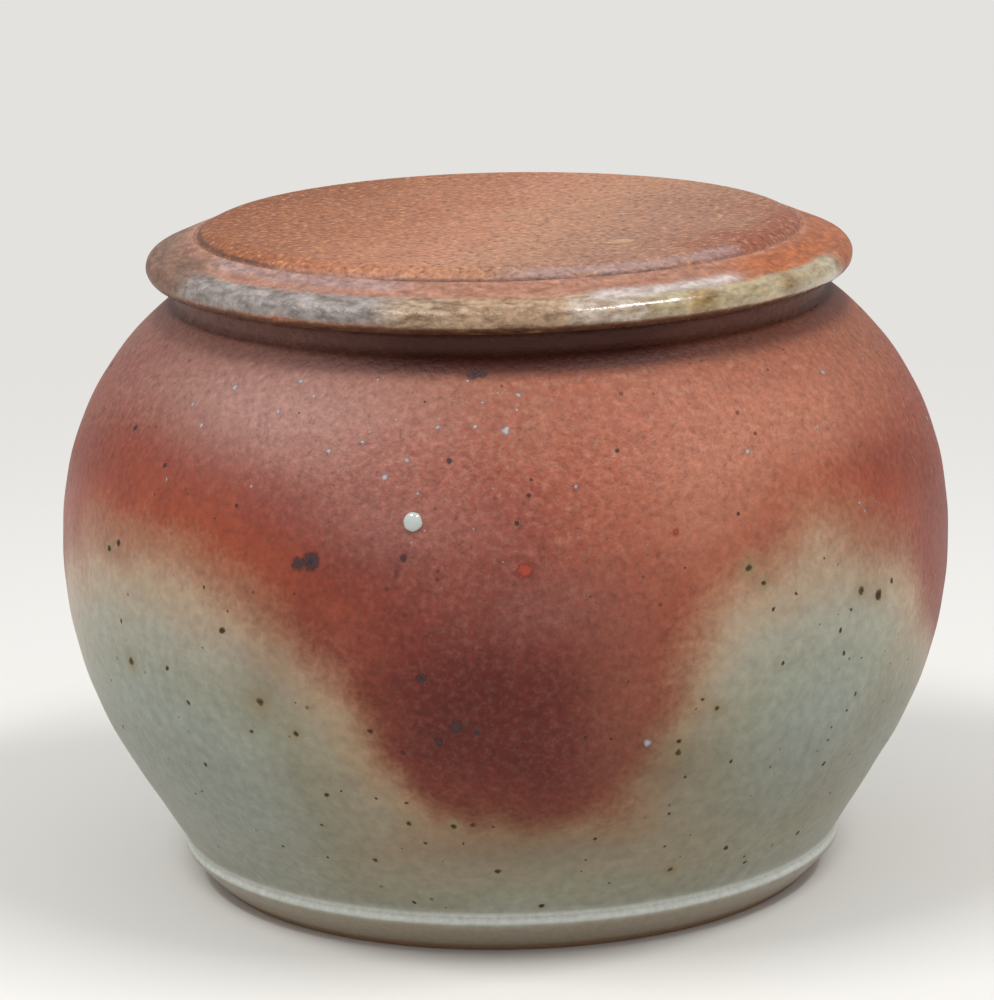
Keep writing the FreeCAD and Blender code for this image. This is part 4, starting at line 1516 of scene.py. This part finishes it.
@dataclass
class FlatLid:
    """The lid: a raised plateau, a sloping brim, a rolled rim, and a flange that drops into the mouth."""

    plateau_radius: float = 41.7
    plateau_edge_arc: float = 5.5
    brim_inner: float = 92.1
    roll_radius: float = 47.4
    roll_round: float = 2.0
    ceiling: float = 88.2
    flange: Point = (35.2, 38.6)
    score_radius: float = 42.2
    score_depth: float = 0.45
    score_half: float = 0.35
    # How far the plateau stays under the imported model's top, so that rounding can't lift it over.
    below_top: float = 0.004
    # Where cream-coloured ash sits on the glass of the rim: its middle and half its width, in degrees.
    crusts = ((25, 7), (43, 9), (61, 9))

    def __post_init__(self) -> None:
        """Reads the lid's heights from the frame."""
        low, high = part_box("lid")
        self.bottom, self.top = low.z / MM, high.z / MM - self.below_top
        self.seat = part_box("pot")[1].z / MM

    def outline(self) -> Outline:
        """Draws the lid's half section.

        Returns:
            The outline.
        """
        outline = Outline()
        inner, outer = self.flange
        outline.line(0, self.ceiling)
        outline.line(1.5, self.ceiling)
        outline.line(inner, self.ceiling, step=2.4, give=0.4, soft=0.8)
        outline.line(inner, self.bottom, step=1.5, soft=1.1)
        outline.line(outer, self.bottom, step=0.8, soft=1.1)
        outline.line(outer, self.seat, step=1.5, soft=0.8)
        outline.line(self.roll_radius, self.seat, step=1.5)
        roll = (self.roll_radius, self.seat + self.roll_round)
        foot = (self.plateau_radius, self.brim_inner)
        run, rise = foot[0] - roll[0], foot[1] - roll[1]
        brim_turn = math.degrees(math.atan2(rise, run) - math.acos(self.roll_round / math.hypot(run, rise)))
        outline.arc(roll, self.roll_round, -90, brim_turn, 0.35, give=0.5)
        slope = math.tan(math.radians(brim_turn - 90))
        for offset, drop in ((self.score_half, 0.0), (0.0, self.score_depth), (-self.score_half, 0.0)):
            radius = self.score_radius + offset
            height = self.brim_inner + (radius - foot[0]) * slope - drop
            outline.line(radius, height, step=0.5 if offset > 0 else 0.12, give=0.5)
        edge_low = self.top - self.plateau_edge_arc
        turn = math.degrees(math.asin((foot[1] - edge_low) / self.plateau_edge_arc))
        flat_radius = foot[0] - self.plateau_edge_arc * math.cos(math.radians(turn))
        outline.arc((flat_radius, edge_low), self.plateau_edge_arc, turn, 90, 0.35, give=0.5)
        outline.line(1.5, self.top, step=1.0, give=0.5)
        outline.line(0, self.top)
        return outline

    def marks(self) -> WheelMarks:
        """Gives what the wheel and the kiln leave on the lid."""
        return WheelMarks(560, 1.5, 0.05, 25.0, 0.2, 2.2, 0.05)

    def build(self) -> Piece:
        """Builds the lid and paints its zones.

        Returns:
            The lid.
        """
        marks = self.marks()
        curve = section_curve("lid_outline", self.outline().points())
        inputs = {**marks.sizes(), "Finish": AshedStoneware().material()}
        lid = run_tree(marks.tree("turned_lid"), curve, inputs, "lid_clay")
        for name, share in self.zones(*cylindrical(lid)).items():
            paint(lid, name, share)
        return lid

    def zones(self, radius: np.ndarray, height: np.ndarray, angle: np.ndarray) -> dict[str, np.ndarray]:
        """Says where the fire left its marks, each as a share from 0 to 1.

        Args:
            radius: Each point's distance from the axis.
            height: Its height.
            angle: Its place round the lid.

        Returns:
            The share by the name of the zone.
        """
        # For arc_of and ridge, the numbers are where the mark's middle lies, in degrees round the lid or in
        # millimetres from the axis, and half its width. The last factor is how strong the mark is.
        middle = self.seat + self.roll_round
        seen = height > self.ceiling - 1
        roll = smooth_step(radius, 45.6, 47.0) * (height > self.seat)
        upper = smooth_step(height, middle - 1.1, middle - 0.1)
        under = smooth_step(height, middle - 0.5, middle - 1.2)
        lee = np.maximum(smooth_step(radius, 46.8, 48.2), smooth_step(angle, 50, 30)) * (height > self.seat)
        line = np.exp(-(((radius - self.score_radius) / 0.3) ** 2)) * seen
        # Where the painted shadow at the foot of the plateau's step lies.
        foot = np.exp(-(((radius - self.plateau_radius) / 0.3) ** 2)) * seen
        # The lilac zones are a painted sheen of the lamps on the brim and the plateau's rolled edge.
        lilac_sheen_left = arc_of(angle, -40, 28) * ridge(radius, 43.6, 2.6)
        lilac_sheen_right = arc_of(angle, 27, 30) * ridge(radius, 41.0, 2.0)
        fleck = np.hypot(np.radians(apart(angle, 37)) * 27.5 / 1.5, (radius - 27.5) / 1.1)
        return {
            "brim": smooth_step(radius, self.plateau_radius - 0.2, self.score_radius + 0.2) * seen,
            "lilac_sheen": (lilac_sheen_left + lilac_sheen_right) * seen * 0.7,
            "flash": arc_of(angle, 92, 58) * smooth_step(radius, 41.0, 44.4) * seen * 0.9,
            "silver": arc_of(angle, -36, 34) * roll * upper * 0.95,
            "cream": arc_of(angle, 4, 27) * roll * 0.9,
            "olive": arc_of(angle, -98, 46) * smooth_step(radius, 42.4, 45.6) * seen * 0.9,
            "ash": arc_of(angle, 44, 32) * roll * lee,
            "crust": sum(arc_of(angle, turn, half) for turn, half in self.crusts) * roll * lee * 0.65,
            "glass": arc_of(angle, 17, 8) * roll * 0.8,
            # Whitish frosting and a painted highlight along the ridge between the brim and the roll.
            "frost_and_highlight": arc_of(angle, 29, 17) * ridge(radius, 46.5, 2.0) * (height > middle) * 0.9,
            "pale": smooth_step(fleck, 1.8, 0.4) * seen * 0.8,
            "lip": under * (radius > 44) + (~seen & (radius < 44)) * 0.45,
            # A dark line along the score, and painted shadow at the plateau's step on the left.
            "score_line_and_step_shadow": np.clip(arc_of(angle, 8, 36) * line * 0.9 + arc_of(angle, -72, 30) * foot * 0.7, 0, 1),
        }


def arc_of(angle: np.ndarray, middle: float, half: float) -> np.ndarray:
    """Gives 1 along a stretch of the circle, which fades over its last third to 0 at its ends."""
    return smooth_step(half - np.abs(apart(angle, middle)), 0, half / 3)


def ridge(values: np.ndarray, middle: float, half: float) -> np.ndarray:
    """Gives 1 in the middle of a band, which falls smoothly to 0 at half away from it."""
    return smooth_step(half - np.abs(values - middle), 0, half)


def section_curve(name: str, points: list[Knot]) -> bpy.types.Curve:
    """Makes an outline a curve in the XZ plane, in metres, whose radius carries each point's give.

    Args:
        name: The curve's name.
        points: The outline's points.

    Returns:
        The curve.
    """
    curve = bpy.data.curves.new(name, "CURVE")
    curve.dimensions = "3D"
    spline = curve.splines.new("POLY")
    spline.points.add(len(points) - 1)
    for spot, knot in zip(spline.points, points):
        spot.co = (knot.radius * MM, 0.0, knot.height * MM, 1.0)
        spot.radius = knot.give
    return curve


@dataclass
class Studio:
    """A plain pale studio: the camera at the photograph's angle, soft lamps and a floor."""

    distance: float = 640.0
    target: float = 57.6
    pitch: float = 12.79
    roll: float = 1.33
    lens: float = 163.0
    shift: Point = (-0.00685, -0.0361)
    floor: str = "#e4e2de"
    floor_half: float = 4.0
    # How far from the pot the floor starts to fade into the backdrop, and where it has gone.
    fade: Point = (110.0, 420.0)
    ambient: float = 0.56
    # The two softboxes: where one hangs, how wide and deep it is, both in metres, and its power in watts.
    lamp_spot: Place = (0.45, -0.26, 0.9)
    lamp_size: Point = (0.5, 0.14)
    lamp_power: float = 4.6

    def build(self) -> None:
        """Sets up the camera, the lamps, the world and the floor."""
        scene = bpy.context.scene
        camera = bpy.data.cameras.new("camera")
        camera.lens = self.lens
        camera.shift_x, camera.shift_y = self.shift
        seen = bpy.data.objects.new("camera", camera)
        pitch = math.radians(self.pitch)
        reach = self.distance * MM
        away = Vector((0, -math.cos(pitch), math.sin(pitch))) * reach
        tilt = Matrix.Rotation(math.pi / 2 - pitch, 4, "X")
        turn = tilt @ Matrix.Rotation(math.radians(-self.roll), 4, "Z")
        seen.matrix_world = Matrix.Translation(away + Vector((0, 0, self.target * MM))) @ turn
        scene.collection.objects.link(seen)
        scene.camera = seen
        across, back, up = self.lamp_spot
        self.lamp("left_softbox", (-across, back, up))
        self.lamp("right_softbox", (across, back, up))
        world = bpy.data.worlds.new("studio")
        world.use_nodes = True
        tree = world.node_tree
        tree.nodes.clear()
        seen = add(tree, "ShaderNodeLightPath").outputs["Is Camera Ray"]
        level = add(tree, "ShaderNodeMix", {"Factor": seen, "A": self.ambient, "B": 1.0})
        colour = {"Factor": seen, "A": (1, 1, 1, 1), "B": linear(self.floor)}
        sky = add(tree, "ShaderNodeMix", colour, data_type="RGBA")
        background = add(tree, "ShaderNodeBackground", {"Color": sky, "Strength": level})
        add(tree, "ShaderNodeOutputWorld", {"Surface": background})
        scene.world = world
        scene.view_settings.view_transform = "Standard"
        self.lay_floor()

    def lamp(self, name: str, spot: Place) -> None:
        """Hangs one soft lamp that faces the pot.

        Args:
            name: The lamp's name.
            spot: Where it hangs, in metres.
        """
        light = bpy.data.lights.new(name, "AREA")
        light.shape = "RECTANGLE"
        light.size, light.size_y = self.lamp_size
        light.energy = self.lamp_power
        lamp = bpy.data.objects.new(name, light)
        towards = Vector((0, 0, self.target * MM)) - Vector(spot)
        lamp.matrix_world = Matrix.Translation(spot) @ towards.to_track_quat("-Z", "Y").to_matrix().to_4x4()
        bpy.context.scene.collection.objects.link(lamp)

    def lay_floor(self) -> None:
        """Lays the floor, which isn't part of the pot, and lets it fade into the backdrop's paper."""
        mesh = bpy.data.meshes.new("floor")
        half = self.floor_half
        corners = [(-half, -half, 0), (half, -half, 0), (half, half, 0), (-half, half, 0)]
        mesh.from_pydata(corners, [], [(0, 1, 2, 3)])
        material, tree, place = blank_material("pale_floor")
        paper = add(tree, "ShaderNodeBsdfPrincipled", {"Base Color": linear(self.floor), "Roughness": 0.8})
        glow = add(tree, "ShaderNodeEmission", {"Color": linear(self.floor), "Strength": 1.0})
        away = add(tree, "ShaderNodeVectorMath", {0: place}, operation="LENGTH")
        start, end = self.fade
        ends = {"Value": away.outputs["Value"], "From Min": start, "From Max": end}
        far = add(tree, "ShaderNodeMapRange", ends, **SMOOTH)
        seen = add(tree, "ShaderNodeLightPath").outputs["Is Camera Ray"]
        share = add(tree, "ShaderNodeMath", {0: far, 1: seen}, operation="MULTIPLY")
        blend = add(tree, "ShaderNodeMixShader", {0: share, 1: paper, 2: glow})
        add(tree, "ShaderNodeOutputMaterial", {"Surface": blend})
        mesh.materials.append(material)
        floor = bpy.data.objects.new("floor", mesh)
        bpy.context.scene.collection.objects.link(floor)


def dress(piece: Piece, body: str, slot: str, *nodes: str) -> None:
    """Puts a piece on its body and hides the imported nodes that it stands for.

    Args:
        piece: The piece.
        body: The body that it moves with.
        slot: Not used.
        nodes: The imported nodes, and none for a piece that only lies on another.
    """
    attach(piece, body)
    if nodes:
        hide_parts(*nodes)
    LOG.info("%s rides on %s with %d faces", piece.name, body, len(piece.data.polygons))


def main() -> None:
    """Builds the studio and the two pieces, and dresses them."""
    logging.basicConfig(level=logging.INFO, format="%(message)s")
    Studio().build()
    thrower = ThrownPot()
    pot = thrower.build()
    dress(pot, "pot", "pot_stoneware", "pot")
    for spots in thrower.melt(pot):
        dress(spots, "pot", "pot_stoneware")
    dress(FlatLid().build(), "lid", "lid_stoneware", "lid")


if __name__ == "__main__":
    main()
